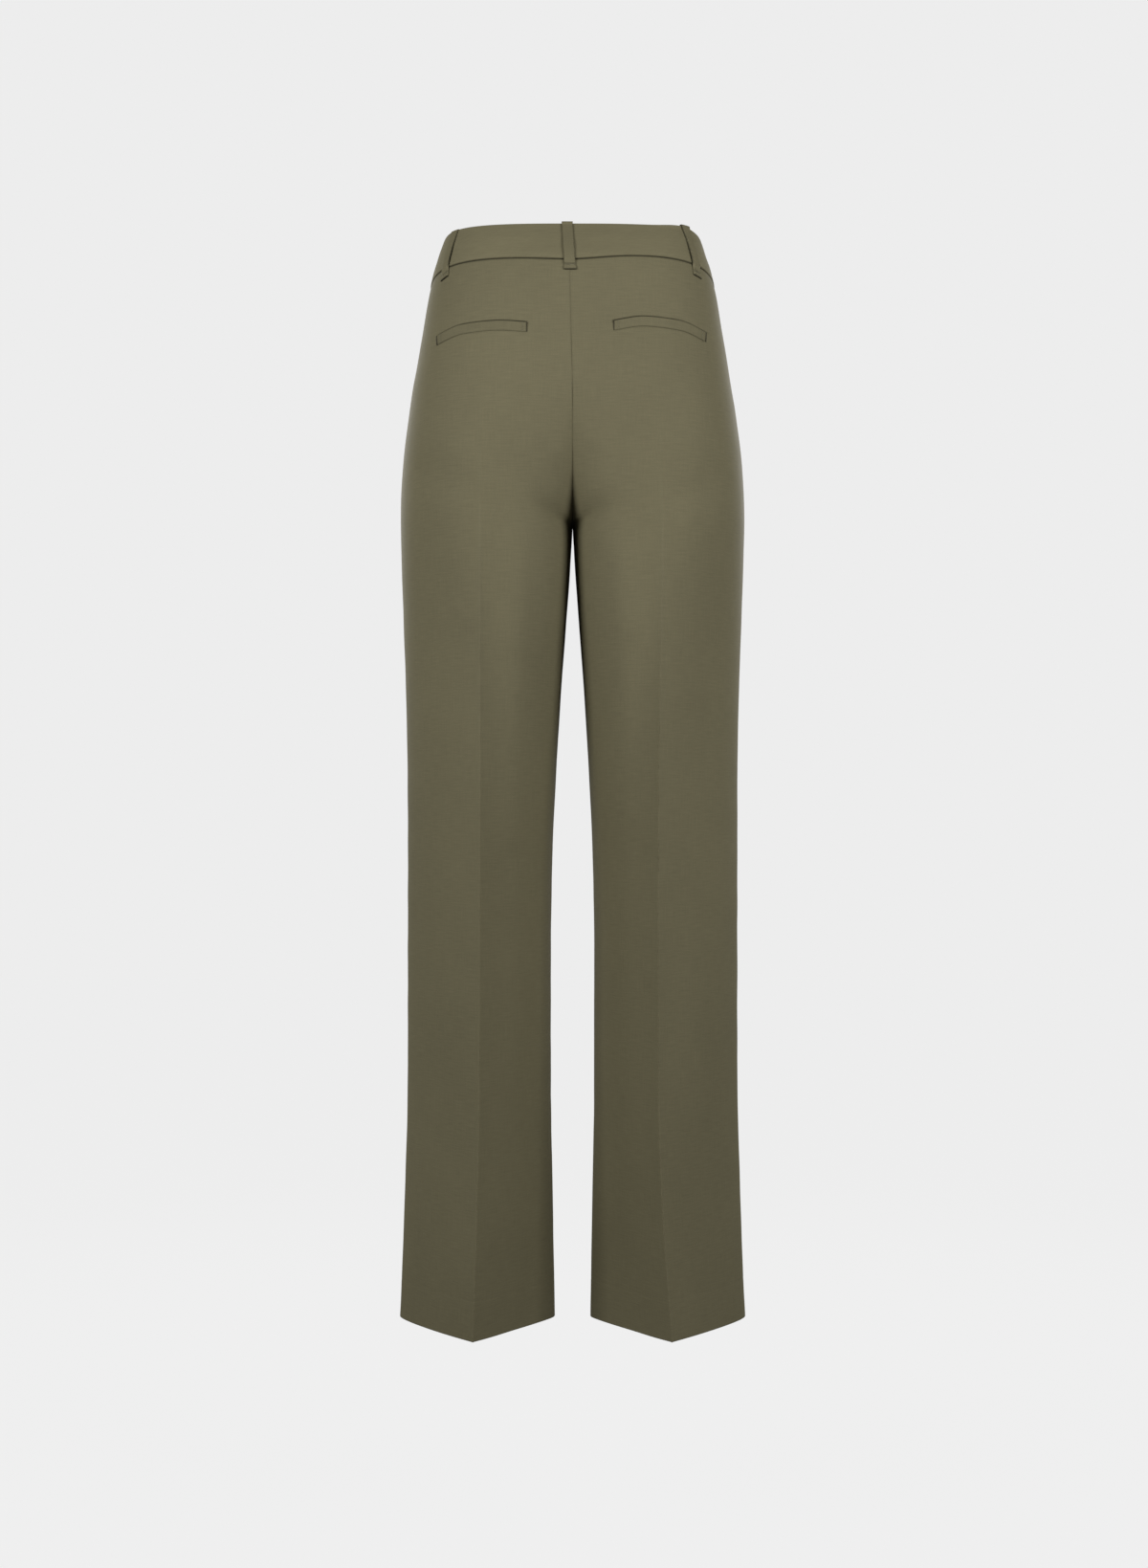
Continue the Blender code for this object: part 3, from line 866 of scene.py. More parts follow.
def suiting(name, colour):
    finish = fabric(name, colour, 0.14, 0.02, 0.45, 4.2)
    grain = finish.attribute("grain", "Vector")
    press = finish.attribute("press")
    clouds = finish.noise(grain, (9, 6, 9), 3.0) - 0.5
    slubs = finish.noise(grain, (60, 900, 60), 3.0) - 0.5
    ends = finish.noise(grain, (1100, 45, 45), 2.0) - 0.5
    melange = finish.noise(grain, (1500, 1500, 1500), 2.0) - 0.5
    weave = twill(finish, grain)
    light = clouds * 0.10 + slubs * 0.14 + ends * 0.08 + melange * 0.16 + (weave - 0.5) * 0.05
    # painted sheen: the pressed crease is painted a little lighter than the rest of the cloth
    press_sheen = press * (finish.noise(grain, (220, 60, 60)) * 0.05)
    # the shade attribute is painted shade where it is positive and painted light where it is negative
    share = light + press_sheen - finish.attribute("shade") + 0.5
    base = finish.blend(tone(colour, DEEPEST), tone(colour, LIGHTEST), share.above(0.0, 1.0))
    rough = slubs * 0.10 + clouds * 0.08 - press * 0.14 + 0.80
    height = weave * 0.6 + slubs * 1.1 + melange * 0.5
    return finish.finish(base, rough, height, RIB)


right_side = suiting("suiting", OLIVE)

# %% [markdown]
# ## The wrong side
#
# Inside the legs the same cloth shows its back, a little darker and flatter. Along every
# seam the cut edges are pressed open and overlocked. They could be strips of their own,
# but they lie so flat that a step in the bump and a row of loops at its edge read the same.

# %% Suiting, wrong side
ALLOWANCE = 11 * MM          # cloth from seam to cut edge
OVERLOCK = 3.2 * MM          # width of the overlocking
LOOP_STEP = 2.1 * MM         # from one of its loops to the next


def wrong_suiting(name, colour):
    finish = fabric(name, colour, 0.18, 0.06, 0.55, 4.0)
    grain = finish.attribute("grain", "Vector")
    seam = finish.attribute("seam")
    _, along, _ = finish.parts(grain)
    clouds = finish.noise(grain, (10, 7, 10), 3.0) - 0.5
    slubs = finish.noise(grain, (60, 900, 60), 3.0) - 0.5
    weave = twill(finish, grain)
    turned = 1 - seam.above(ALLOWANCE - 0.3 * MM, ALLOWANCE + 0.3 * MM)
    locked = turned * seam.above(ALLOWANCE - OVERLOCK, ALLOWANCE - OVERLOCK + 0.4 * MM)
    loops = (along * (2 * math.pi / LOOP_STEP) + seam * 900).wave()
    light = clouds * 0.12 + slubs * 0.14 + (weave - 0.5) * 0.06 + locked * (loops * 0.30 - 0.10) + 0.5
    base = finish.blend(tone(colour, DEEPEST), tone(colour, LIGHTEST), light.above(0.0, 1.0))
    height = weave * 0.05 + turned * 0.6 + locked * loops * 0.5
    return finish.finish(base, slubs * 0.08 + 0.86, height, 0.9 * MM)


wrong_side = wrong_suiting("suiting wrong side", OLIVE * 0.86)

# %% [markdown]
# ## Sewing thread
#
# Bar tacks, the fly's topstitching and the tacks of the loops are sewn in matching thread,
# a shade lighter than the cloth and with more gloss. Each stitch is a short capsule that
# sinks in at both ends. Plies twist round it, drawn as slanting bumps.

# %% Thread
PLY = 0.55 * MM


def thread_finish():
    finish = Finish("sewing thread", {"Metallic": 0.0, "Specular IOR Level": 0.45,
                                      "Sheen Weight": 0.15, "Sheen Roughness": 0.4})
    grain = finish.attribute("grain", "Vector")
    along, around, _ = finish.parts(grain)
    plies = (along * (2 * math.pi / PLY) + around).wave()
    fluff = finish.noise(grain, (4000, 2, 2)) - 0.5
    share = plies * 0.22 + fluff * 0.2 + 0.40
    base = finish.blend(tone(OLIVE, DEEPEST), tone(OLIVE, LIGHTEST), share)
    return finish.finish(base, fluff * 0.1 + 0.55, plies, 0.05 * MM)


thread = thread_finish()

# %% Stitches
# along: share of a stitch's length      lift, width: shares of the thread's radius
STITCH_FORM = """
along lift  width
0.0   -0.9  0.35
0.12  0.35  0.85
0.5   0.75  1.0
0.88  0.35  0.85
1.0   -0.9  0.35
"""
stitch_form = read_table(STITCH_FORM)
ROUND = 6                    # corners round a thread
THREAD = {"welt": 0.13 * MM, "loop": 0.16 * MM, "fly": 0.22 * MM}    # radius


def stitches(name, starts, ends, normals, radius):
    """Short stitches between pairs of points, each a capsule that dips at both ends."""
    points = []
    grain = []
    faces = []
    for number, (start, end, normal) in enumerate(zip(starts, ends, normals)):
        along = end - start
        length = np.linalg.norm(along)
        across = np.cross(along / length, normal)
        first = len(points)
        for bow, lift, width in zip(*stitch_form.values()):
            centre = start + along * bow + normal * (lift * radius)
            for k in range(ROUND):
                angle = 2 * math.pi * k / ROUND
                out = math.cos(angle) * across + math.sin(angle) * normal
                points.append(centre + width * radius * out)
                grain.append((number * 0.013 + bow * length, angle, 0.0))
        last = len(points) - ROUND
        for ring in range(first, last, ROUND):
            for k in range(ROUND):
                a = ring + k
                b = ring + (k + 1) % ROUND
                faces.append((a, b, b + ROUND, a + ROUND))
        faces.append(tuple(range(first, first + ROUND))[::-1])
        faces.append(tuple(range(last, last + ROUND)))
    mesh = bpy.data.meshes.new(name)
    mesh.from_pydata([tuple(point) for point in points], [], faces)
    attribute(mesh, "grain", "FLOAT_VECTOR", np.array(grain))
    fix = bmesh.new()
    fix.from_mesh(mesh)
    bmesh.ops.recalc_face_normals(fix, faces=fix.faces)
    fix.to_mesh(mesh)
    fix.free()
    piece = new_object(name, mesh, thread)
    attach(piece, "root")
    print(f"{name}: {len(starts)} stitches")


def read_off(places, known, values):
    """Points or normals of a line at places between its known ones."""
    return np.stack([np.interp(places, known, values[:, axis]) for axis in range(3)], axis=1)


# %% [markdown]
# ## Leg panels
#
# Four long panels make the legs, from the waist seam to the hem. Each is the quarter's
# form plus its relief: the soft folds, the edges that roll into the seams, the ridge that
# the iron pressed, and the pocket's mouth behind. The hem is turned up inside and blind
# stitched, so its foot is thicker, and a faint line shows where the turned edge ends.

# %% Rows of a panel
TUCKED = 5 * MM              # how far the panels run up inside the waistband
HEM_FOLD = OUTSEAM - HEM_TURNED
EDGE_ROWS = np.array([0.0, 0.25, 0.6, 1.1, 1.8, 3.0]) * MM
MOUTH_ROWS = np.array([-4.0, -2.4, -1.6, -1.1, -0.7, -0.35, 0.0, 0.5, 1.4, 4.7, 8.0, 8.8, 9.3, 9.8,
                       10.4, 11.4, 13.0]) * MM
HEM_ROWS = np.array([-3.0, -1.6, -0.8, 0.0, 0.8, 1.6, 3.0]) * MM

panel_rows = filled(np.concatenate([
    BAND_HEIGHT - np.array([TUCKED, 0.3 * MM]),
    BAND_HEIGHT + EDGE_ROWS,
    WELT_ROW + MOUTH_ROWS,
    HEM_FOLD + HEM_ROWS,
    OUTSEAM - EDGE_ROWS,
]), 3.1 * MM)
SEAM_ROW = int(np.argmin(np.abs(panel_rows - BAND_HEIGHT)))
print("rows of a panel:", len(panel_rows))

# %% Relief of a panel
ROLL = 1.3 * MM              # radius of a seam's rounded edge
ROLL_DEPTH = 0.34 * MM
WAIST_ROLL_DEPTH = 0.60 * MM
PULL = 0.16 * MM             # how far the sewing draws the cloth in beside a seam
PULL_WIDTH = 4.5 * MM
PRESSED = 0.42 * MM          # height and width of the crease's ridge
PRESS_WIDTH = 1.5 * MM
PRESS_STARTS = {BACK: (236, 330), FRONT: (70, 170)}
MOUTH_DEPTH = 1.9 * MM
MOUTH_END = 1.6 * MM         # length over which a mouth closes
DITCH_DEPTH = 0.18 * MM      # the furrow below a welt
HEM_PROUD = 0.08 * MM
HEM_FURROW = 0.05 * MM       # the faint line of its blind stitches
# painted shade: how much darker a panel is painted in its seams, under the band and more so at the
# sides, in a pocket's mouth and in the furrow below a welt
PANEL_SHADE = SimpleNamespace(seam=0.035, waist=0.45, sides=0.30, mouth=0.50, ditch=0.04)


def inside_mouth(side, x):
    mouth = MOUTHS[side]
    near_end = smooth_step((x - mouth.near) / MOUTH_END + 0.5)
    return near_end * smooth_step((mouth.far - x) / MOUTH_END + 0.5)


def panel_relief(part):
    """Displacement, shade and press of a panel's right side."""
    x, drop = part.x, part.drop
    relief = soft_relief(part.side, part.face, x, drop)
    seam = np.minimum(part.from_inner, part.from_side)
    top = np.maximum(drop - drop[SEAM_ROW], 0)
    relief -= rolled(seam, ROLL, ROLL_DEPTH) + PULL * ridge(seam, PULL_WIDTH)
    relief -= rolled(top, ROLL, WAIST_ROLL_DEPTH) + PULL * ridge(top, PULL_WIDTH)
    low, high = PRESS_STARTS[part.face]
    press = smooth_step((drop / MM - low) / (high - low))
    press = press * np.exp(-np.abs(part.from_crease) / PRESS_WIDTH)
    relief += PRESSED * press
    # painted shade darkens the seams, and more strongly the cloth just under the waistband
    waist = PANEL_SHADE.waist + PANEL_SHADE.sides * ridge(part.from_side, 60 * MM)
    shade = PANEL_SHADE.seam * ridge(seam, 1.2 * MM) + waist * ridge(top, 0.95 * MM)
    if part.face == BACK:
        below = drop - mouth_drop(part.side, x)
        within = inside_mouth(part.side, x)
        relief -= MOUTH_DEPTH * ridge(below + 0.20 * MM, 0.75 * MM) * within
        relief -= DITCH_DEPTH * ridge(below - WELT_HEIGHT - 0.2 * MM, 0.9 * MM) * within
        # painted shade darkens the pocket's mouth and the furrow below the welt
        shade += PANEL_SHADE.mouth * ridge(below + 0.3 * MM, 0.8 * MM) * within
        shade += PANEL_SHADE.ditch * ridge(below - WELT_HEIGHT - 0.3 * MM, 0.8 * MM) * within
    relief += HEM_PROUD * smooth_step((drop - HEM_FOLD) / (3 * MM))
    relief -= HEM_FURROW * ridge(drop - HEM_FOLD, 1.2 * MM)
    return relief, shade, press


# %% Two sides of a panel
SEAM_HOLDS = 2.0 * MM        # the sewing keeps the cloth's edge on the middle plane
EDGE_TURN = 0.47             # share of its thickness by which each face turns in at an edge


def panel_sides(part, relief):
    """The right and wrong sides of a panel, which never cross its seams."""
    turned = smooth_step((part.drop - HEM_FOLD) / (1.6 * MM) + 0.5)
    thick = CLOTH + (HEM_CLOTH - CLOTH) * turned
    foot = rolled(part.drop[-1:] - part.drop, 1.2 * MM, EDGE_TURN) * thick
    normals = normals_of(part.points, -part.side * part.face)
    sides = []
    for shift in (relief - foot, relief - thick + foot):
        move = normals * shift[:, :, None]
        torso = part.drop < CROTCH + MM
        move[:, :, 0] *= np.where(torso, smooth_step(part.from_inner / SEAM_HOLDS), 1.0)
        skin = part.points + move
        keep_off = part.side * part.points[:, :1, 0]
        skin[:, :, 0] = part.side * np.maximum(part.side * skin[:, :, 0], keep_off)
        skin[:, :, 1] = part.face * np.maximum(part.face * skin[:, :, 1], JOIN / 2)
        sides.append(skin)
    return sides


# %% [markdown]
# ## Front opening
#
# The fly is on the front. Its right edge laps over the left, which sinks beneath it, and
# the facing behind it makes the cloth a little thicker out to a J of topstitching. The J
# turns in to the seam at the foot of the opening. Loose layers could be laid over each
# other, but nothing opens here, so a relief of half a millimetre on the panels is enough.

# %% Relief of the fly
FLY_WIDTH = 33 * MM
FLY_STRAIGHT = 150 * MM      # drop where the J starts to turn
FLY_FOOT = 186 * MM
FLY_PROUD = 0.55 * MM
FLY_EDGE = 0.40 * MM         # how far the lap's edge lifts, and how deep the stitching lies
FLY_OPENING = 0.5 * MM       # how deep the left edge lies at the opening
FLY_SUNK = 1.2 * MM          # how deep the left front runs under the right,
BAND_SUNK = 1.6 * MM         # and how much deeper inside the waistband
LAP_EASE = 48 * MM           # width over which the left front comes out from under the right


def lap_out(x):
    """0 where the left front lies under the right, 1 where it is out from under it."""
    return smooth_step((x - LAP_EASE / 4) / (LAP_EASE * 3 / 4))


def fly_relief(part):
    x, drop = part.x, part.drop
    opening = smooth_step((FLY_FOOT + 4 * MM - drop) / (8 * MM)) * ridge(x, 5 * MM)
    if part.side == LEFT:
        above = drop[SEAM_ROW] - drop
        sunk = FLY_SUNK * smooth_step(1 + above / (30 * MM))
        sunk += BAND_SUNK * smooth_step(above / (0.3 * MM))
        return -FLY_OPENING * opening - (1 - lap_out(x)) * sunk
    turn = np.clip((drop - FLY_STRAIGHT) / (FLY_FOOT - FLY_STRAIGHT), 0, 1)
    distance = x - FLY_WIDTH * np.sqrt(1 - turn ** 2)
    ends = smooth_step((FLY_FOOT - drop) / (2 * MM) + 0.5)
    inside = smooth_step(-distance / (2 * MM) + 0.5) * ends
    ditch = ridge(distance, 1.1 * MM) * ends
    return FLY_PROUD * inside - FLY_EDGE * ditch + FLY_EDGE * opening


# %% Panels
PANEL_SIDE = {LEFT: "left", RIGHT: "right"}
PANEL_FACE = {BACK: "back", FRONT: "front"}


def make_panel(side, face):
    name = f"{PANEL_FACE[face]}_{PANEL_SIDE[side]}"
    part = quarter(side, face, panel_rows)
    relief, shade, press = panel_relief(part)
    if face == FRONT:
        relief += fly_relief(part)
    top = part.drop - part.drop[:1] + 2 * MM
    seam = np.minimum(np.minimum(part.from_inner, part.from_side), top)
    seam = np.where(part.drop > HEM_FOLD, HEM_FOLD + ALLOWANCE - part.drop, seam)
    grain = (part.from_crease + (0.37 * side + 0.11 * face), part.drop)
    piece = cloth(name + "_panel", panel_sides(part, relief), (right_side, wrong_side), grain, shade,
                  press, seam)
    dress(piece, name)


for face in (BACK, FRONT):
    for side in (LEFT, RIGHT):
        make_panel(side, face)

# %% [markdown]
# ## Waistband
#
# The band is one shaped strip folded along its top edge, about twice as thick as the leg.
# It is stiffened inside, so it has no folds, only slow ripples along its length. Its lower edge stands
# a little proud over the panels and throws the dark line of the waist seam, which painted shade on both
# sides of the seam makes darker; the band itself is painted a little lighter than the panels. At the
# front the right end laps over the left, which runs on behind it.

# %% Waistband
LAP = 40 * MM                # how far the ends overlap
LAP_GAP = 0.5 * MM
LAP_COLUMNS = 24
BAND_ROLL = 1.0 * MM
BAND_WAVES = 0.18 * MM
BAND_PUFF = 0.35 * MM        # it puffs out behind, on the right
PUFF_PLACE, PUFF_DROP = 66 * MM, 18 * MM
BAND_LIP = 0.25 * MM         # how far its folded top stands up
# painted shade darkens the band's lower edge, and painted light makes all of it lighter than the panels
BAND_SHADE = 0.22            # its lower edge is darker,
BAND_LIGHT = 0.045           # and all of it lighter than the panels

band_rows = filled(np.concatenate([EDGE_ROWS, BAND_HEIGHT - WAIST_GAP / 2 - EDGE_ROWS]), 1.7 * MM)


def band_form():
    """A grid round the waist: lap, left front, left back, right back and right front."""
    left_front, left_back, right_back, right_front = [
        quarter(side, face, band_rows).points
        for side, face in ((LEFT, FRONT), (LEFT, BACK), (RIGHT, BACK), (RIGHT, FRONT))]
    x = LAP * (1 - np.arange(LAP_COLUMNS) / LAP_COLUMNS)
    lap, _, _ = surface(RIGHT, FRONT, x[None, :], band_rows[:, None])
    lap[:, :, 2] -= waist_dip(FRONT, 0.0, band_rows)[:, None]
    return np.concatenate([lap, left_front[:, :-1], left_back[:, :0:-1], right_back[:, 1:],
                           right_front[:, -2::-1]], axis=1)


def band_waves(drop, run, upper, height):
    """Ripples along the band, none at its edges."""
    middle = np.sin(np.pi * np.clip(upper / height, 0, 1))
    return BAND_WAVES * middle * (ripples(31, drop, run, 5, 60, 190, 12)
                                  + ripples(32, run, drop * 1.3, 4, 26, 60, 10))


def make_band():
    form = band_form()
    x, y, drop = form[:, :, 0], form[:, :, 1], -form[:, :, 2]
    hops = np.linalg.norm(np.diff(form, axis=1), axis=2)
    run = np.concatenate([np.zeros((len(form), 1)), np.cumsum(hops, axis=1)], axis=1)
    behind = BAND_PROUD - BAND_CLOTH - LAP_GAP
    leading = (np.arange(form.shape[1])[None, :] < form.shape[1] // 4) & (x < LAP_EASE)
    shift = np.where(leading, behind + (BAND_PROUD - behind) * lap_out(x), BAND_PROUD)
    upper = drop - drop[:1]
    lower = drop[-1:] - drop
    waves = band_waves(drop, run, upper, drop[-1:] - drop[:1])
    waves += BAND_PUFF * ridge(drop - PUFF_DROP, 7 * MM) * ridge(x + PUFF_PLACE, 24 * MM) * (y > 0)
    edges = [rolled(place, BAND_ROLL, EDGE_TURN * BAND_CLOTH)
             for place in (upper, lower, run, run[:, -1:] - run)]
    roll = np.max(edges, axis=0)
    outer, inner = skins(form, normals_of(form, 1), shift + waves - roll,
                         shift + waves - BAND_CLOTH + roll)
    outer[:, :, 2] += BAND_LIP * ridge(upper, 0.5 * MM)
    # painted shade at the lower edge, painted light over the whole band
    shade = BAND_SHADE * ridge(lower, 0.6 * MM) - BAND_LIGHT
    piece = cloth("waist_band", (outer, inner), (right_side,), (run, drop + 3.0), shade)
    dress(piece, "waistband")


make_band()

# %% [markdown]
# ## Belt loops
#
# A belt loop is a narrow folded strip. Its top end goes over the band's edge and its
# lower end is turned under and tacked below the waist seam, with a dent where the tack
# pulls it down. A bent plate would do from afar, but the loops break the outline at the
# waist, so each gets rounded edges, a rounded fold on top and its own stitches.

# %% Form of a loop
# top, foot: places across, as shares of the half width
# top_low, foot_low: mm that an end sits lower      lean: mm that the foot's outer corner hangs
LOOPS = """
name          side face top   foot  top_low foot_low lean
centre_back   1    1    0.041 0.015 -0.5    -0.6     0.0
back_left     1    1    0.905 0.873 1.2     -1.7     3.0
back_right   -1    1    0.868 0.852 -2.4    -2.6     2.0
front_left    1   -1    0.560 0.560 0.0     0.0      0.0
front_right  -1   -1    0.560 0.560 0.0     0.0      0.0
"""
# inner, outer: the strip's faces, out from the panels' face in mm      ..._drop: their places
BENDS = """
inner inner_drop outer outer_drop
-1.5  -0.4       -1.5  -1.9
-0.2  -0.4       0.6   -2.1
0.8   -0.4       2.0   -1.4
0.8   2.0        2.5   1.2
1.3   7.0        2.7   6.5
1.5   17.0       2.9   17.0
1.4   30.0       2.8   30.0
1.0   37.5       2.5   38.5
0.3   42.0       1.9   42.5
0.3   50.0       1.9   50.0
"""
LOOP_WIDTH = 10.5 * MM
LOOP_TACK = 45.2             # drop in mm of the tack that holds the foot
LOOP_FLARE = 0.12            # the tack flattens the foot wider
LOOP_FOOT = 7 * MM           # length of a loop over its last bend
LOOP_TURN = 0.44             # share of its thickness by which an edge turns in
LOOP_DENT = 0.75             # mm that the tack pulls it in
LOOP_BELLY = 0.12            # mm that its middle stands out
# painted shade: how much darker its edges are painted on the band and more so where it turns to the
# side, the dent above its tack and its foot
LOOP_SHADE = SimpleNamespace(edge=0.10, turned=0.18, tack=0.20, foot=0.45)
LOOP_ROWS = 60
LOOP_COLUMNS = np.array([0.0, 0.035, 0.08, 0.15, 0.3, 0.5, 0.7, 0.85, 0.92, 0.965, 1.0])

bends = read_table(BENDS)


def loop_face(loop, lifts, drops):
    """One face of a loop and its normals."""
    drops = drops * MM
    down = np.maximum(drops, 0.0)
    share = loop.top + (loop.foot - loop.top) * down / (bends["inner_drop"][-1] * MM)
    half = FORM["half"].at(down / MM) * MM
    middle = share * half
    _, normal, tangent = surface(loop.side, loop.face, middle, drops)
    level = normal * np.array([1.0, 1.0, 0.0])
    level /= np.linalg.norm(level, axis=1, keepdims=True)
    gone = (down / down[-1])[:, None]
    flare = 1 + LOOP_FLARE * smooth_step((gone - 0.86) / 0.08)
    x = middle[:, None] + (LOOP_COLUMNS - 0.5)[None, :] * LOOP_WIDTH * flare * np.abs(tangent[:, :1])
    lean = loop.lean * MM * (LOOP_COLUMNS - 0.5)[None, :] * gone
    low = loop.top_low + (loop.foot_low - loop.top_low) * gone
    drops = drops[:, None] + low * MM + lean
    base, _, _ = surface(loop.side, loop.face, x, drops)
    away = np.hypot(half[:, None] - x, base[:, :, 1])
    base[:, :, 2] -= waist_dip(loop.face, away, np.maximum(drops, 0))
    return base + level[:, None, :] * (lifts * MM)[:, :, None], level


# %% Belt loops
def make_loop(loop):
    name = f"belt_loop_{loop.name}"
    last = len(bends["inner"]) - 1
    at = np.linspace(0, last, LOOP_ROWS)
    at = np.sort(np.concatenate([at, last - np.array([0.03, 0.08, 0.15, 0.25])]))
    track = {key: Track(np.arange(last + 1), values).at(at) for key, values in bends.items()}
    edge = np.minimum(LOOP_COLUMNS, 1 - LOOP_COLUMNS)[None, :] * LOOP_WIDTH
    foot = (at[-1] - at)[:, None] * LOOP_FOOT
    thick = (track["outer"] - track["inner"])[:, None]
    drop = track["outer_drop"][:, None]
    roll = np.maximum(rolled(edge, 0.8 * MM, LOOP_TURN), rolled(foot, 0.9 * MM, LOOP_TURN))
    roll = roll * np.clip(thick, 0, 1.9)
    dent = LOOP_DENT * ridge(drop - LOOP_TACK, 1.0) * (0.75 + 0.25 * np.cos(edge / LOOP_WIDTH * 9))
    belly = LOOP_BELLY * np.cos(np.pi * (LOOP_COLUMNS - 0.5))[None, :]
    outer, level = loop_face(loop, track["outer"][:, None] - roll - dent + belly, track["outer_drop"])
    inner, _ = loop_face(loop, track["inner"][:, None] + roll * 0.5, track["inner_drop"])
    run = np.concatenate([[0], np.cumsum(np.linalg.norm(np.diff(outer[:, 5], axis=0), axis=1))])
    on_band = smooth_step((BAND_HEIGHT / MM - drop) / 3 + 0.5)
    turned = smooth_step((loop.top - 0.2) / 0.4) * (LOOP_COLUMNS < 0.5)
    # painted shade on the loop's edges over the band, above its tack and at its foot
    shade = (LOOP_SHADE.edge + LOOP_SHADE.turned * turned) * ridge(edge, 0.5 * MM) * on_band
    shade = shade + LOOP_SHADE.tack * ridge(drop - LOOP_TACK + 1, 0.5)
    shade = shade + LOOP_SHADE.foot * ridge(foot, 0.8 * MM)
    grain = (LOOP_COLUMNS * LOOP_WIDTH + 0.7 * loop.top, run[:, None])
    piece = cloth(name + "_strip", (outer, inner), (right_side,), grain, shade)
    dress(piece, name)
    i = int(np.argmin(np.abs(track["outer_drop"] - LOOP_TACK)))
    loop_tack(name + "_tack", outer[i], level[i])


def zigzag(count):
    """1 and -1 in turn, for stitches that lean one way and then the other."""
    return np.where(np.arange(count) % 2 == 0, 1.0, -1.0)[:, None]


def loop_tack(name, row, normal):
    """A bar tack across a loop's foot: close upright stitches."""
    count = 17
    normals = np.repeat(normal[None, :], count, axis=0)
    middles = read_off(np.linspace(0.09, 0.91, count), LOOP_COLUMNS, row) + normals * 0.10 * MM
    lean = (row[-1] - row[0]) / LOOP_WIDTH * 0.25 * MM * zigzag(count)
    half = np.array([0.0, 0.0, 0.75 * MM]) + lean
    stitches(name, middles + half, middles - half, normals, THREAD["loop"])


def read_rows(text):
    """Rows of a table whose first column is a name."""
    names, *lines = [line.split() for line in text.strip().splitlines()]
    return [SimpleNamespace(name=line[0], **dict(zip(names[1:], map(float, line[1:]))))
            for line in lines]


for loop in read_rows(LOOPS):
    make_loop(loop)

# %% [markdown]
# ## Pocket welts
#
# Each back pocket shows only its welt: a folded strip that fills the slit in the panel, free along its
# upper edge and tacked at both ends. It is laid on the panel's own surface, so it takes every fold
# below it. Its upper edge stands over the mouth that was sunk in the panel, which gives the dark line,
# and painted shade in the mouth and at the welt's edges and ends makes it darker.

# %% Welts
WELT_CLOTH = 1.2 * MM
WELT_THIN = 0.35 * MM        # what stands proud at its lower edge
WELT_FOOT_CLOTH = 0.45 * MM  # its thickness there
WELT_LIFT = 0.3 * MM
WELT_LIP = 0.20 * MM         # how far its free edge lifts, and its tacks pull it in
WELT_DENT = 0.35 * MM
# painted shade: how much darker its two long edges, its two ends and its tacks are painted; all of it
# is also a little darker
WELT_SHADE = SimpleNamespace(top=0.22, foot=0.05, near=0.45, far=0.70, tack=0.05, all=0.02)
WELT_COLUMNS = 64
WELT_TACK = 4.6 * MM         # from an end to its tack


def make_welt(side):
    name = f"back_welt_{PANEL_SIDE[side]}"
    mouth = MOUTHS[side]
    length = mouth.far - mouth.near
    x = mouth.near + length * np.linspace(0, 1, WELT_COLUMNS)
    x = np.unique(np.concatenate([x, mouth.near + EDGE_ROWS[:5], mouth.far - EDGE_ROWS[:5]]))[None, :]
    y = filled(np.concatenate([EDGE_ROWS[:5], WELT_HEIGHT - EDGE_ROWS[:5]]), 0.9 * MM)[:, None]
    drop = mouth_drop(side, x) + y
    x = x + 0 * y
    form, normals, _ = surface(side, BACK, x, drop)
    ends = np.minimum(x - mouth.near, mouth.far - x)
    edges = np.minimum(y, WELT_HEIGHT - y)
    lower = smooth_step(y / WELT_HEIGHT) ** 1.3
    thick = WELT_CLOTH - (WELT_CLOTH - WELT_FOOT_CLOTH) * lower
    roll = np.maximum(rolled(ends, 0.9 * MM, 0.5), rolled(edges, 0.8 * MM, 0.5)) * thick
    lift = soft_relief(side, BACK, x, drop) + WELT_LIFT
    lip = WELT_LIP * ridge(y, 2.2 * MM) * np.sin(np.pi * np.clip((x - mouth.near) / length, 0, 1))
    lip -= (WELT_CLOTH - WELT_THIN) * lower
    dents = WELT_DENT * ridge(ends - WELT_TACK, 0.9 * MM)
    sides = skins(form, normals, lift + WELT_CLOTH + lip - roll - dents, lift + roll * 0.6)
    # painted shade along the welt's long edges, at its ends and beside its tacks
    shade = WELT_SHADE.top * ridge(y, 0.5 * MM) + WELT_SHADE.foot * ridge(WELT_HEIGHT - y, 0.6 * MM)
    shade = shade + WELT_SHADE.near * ridge(x - mouth.near, 0.8 * MM)
    shade = shade + WELT_SHADE.far * ridge(mouth.far - x, 1.2 * MM)
    shade = shade + WELT_SHADE.tack * ridge(ends - WELT_TACK, 0.8 * MM) + WELT_SHADE.all
    piece = cloth(name + "_strip", sides, (right_side,), (x + 2.0 * side, drop + 5.0), shade)
    dress(piece, name)
    for end, place in (("near", mouth.near + WELT_TACK), ("far", mouth.far - WELT_TACK)):
        column = int(np.argmin(np.abs(x[0] - place)))
        welt_tack(f"{name}_tack_{end}", sides[0][:, column], normals[:, column], y[:, 0])


def welt_tack(name, column, normals, places):
    """Close sideways stitches down a welt's end."""
    count = 15
    wanted = np.linspace(0.6 * MM, WELT_HEIGHT - 0.6 * MM, count)
    middles = read_off(wanted, places, column)
    outward = read_off(wanted, places, normals)
    half = np.cross(outward, (0.0, 0.0, 1.0)) * 0.65 * MM
    half = half + np.array([0.0, 0.0, 0.12 * MM]) * zigzag(count)
    stitches(name, middles - half, middles + half, outward, THREAD["welt"])


for side in (LEFT, RIGHT):
    make_welt(side)

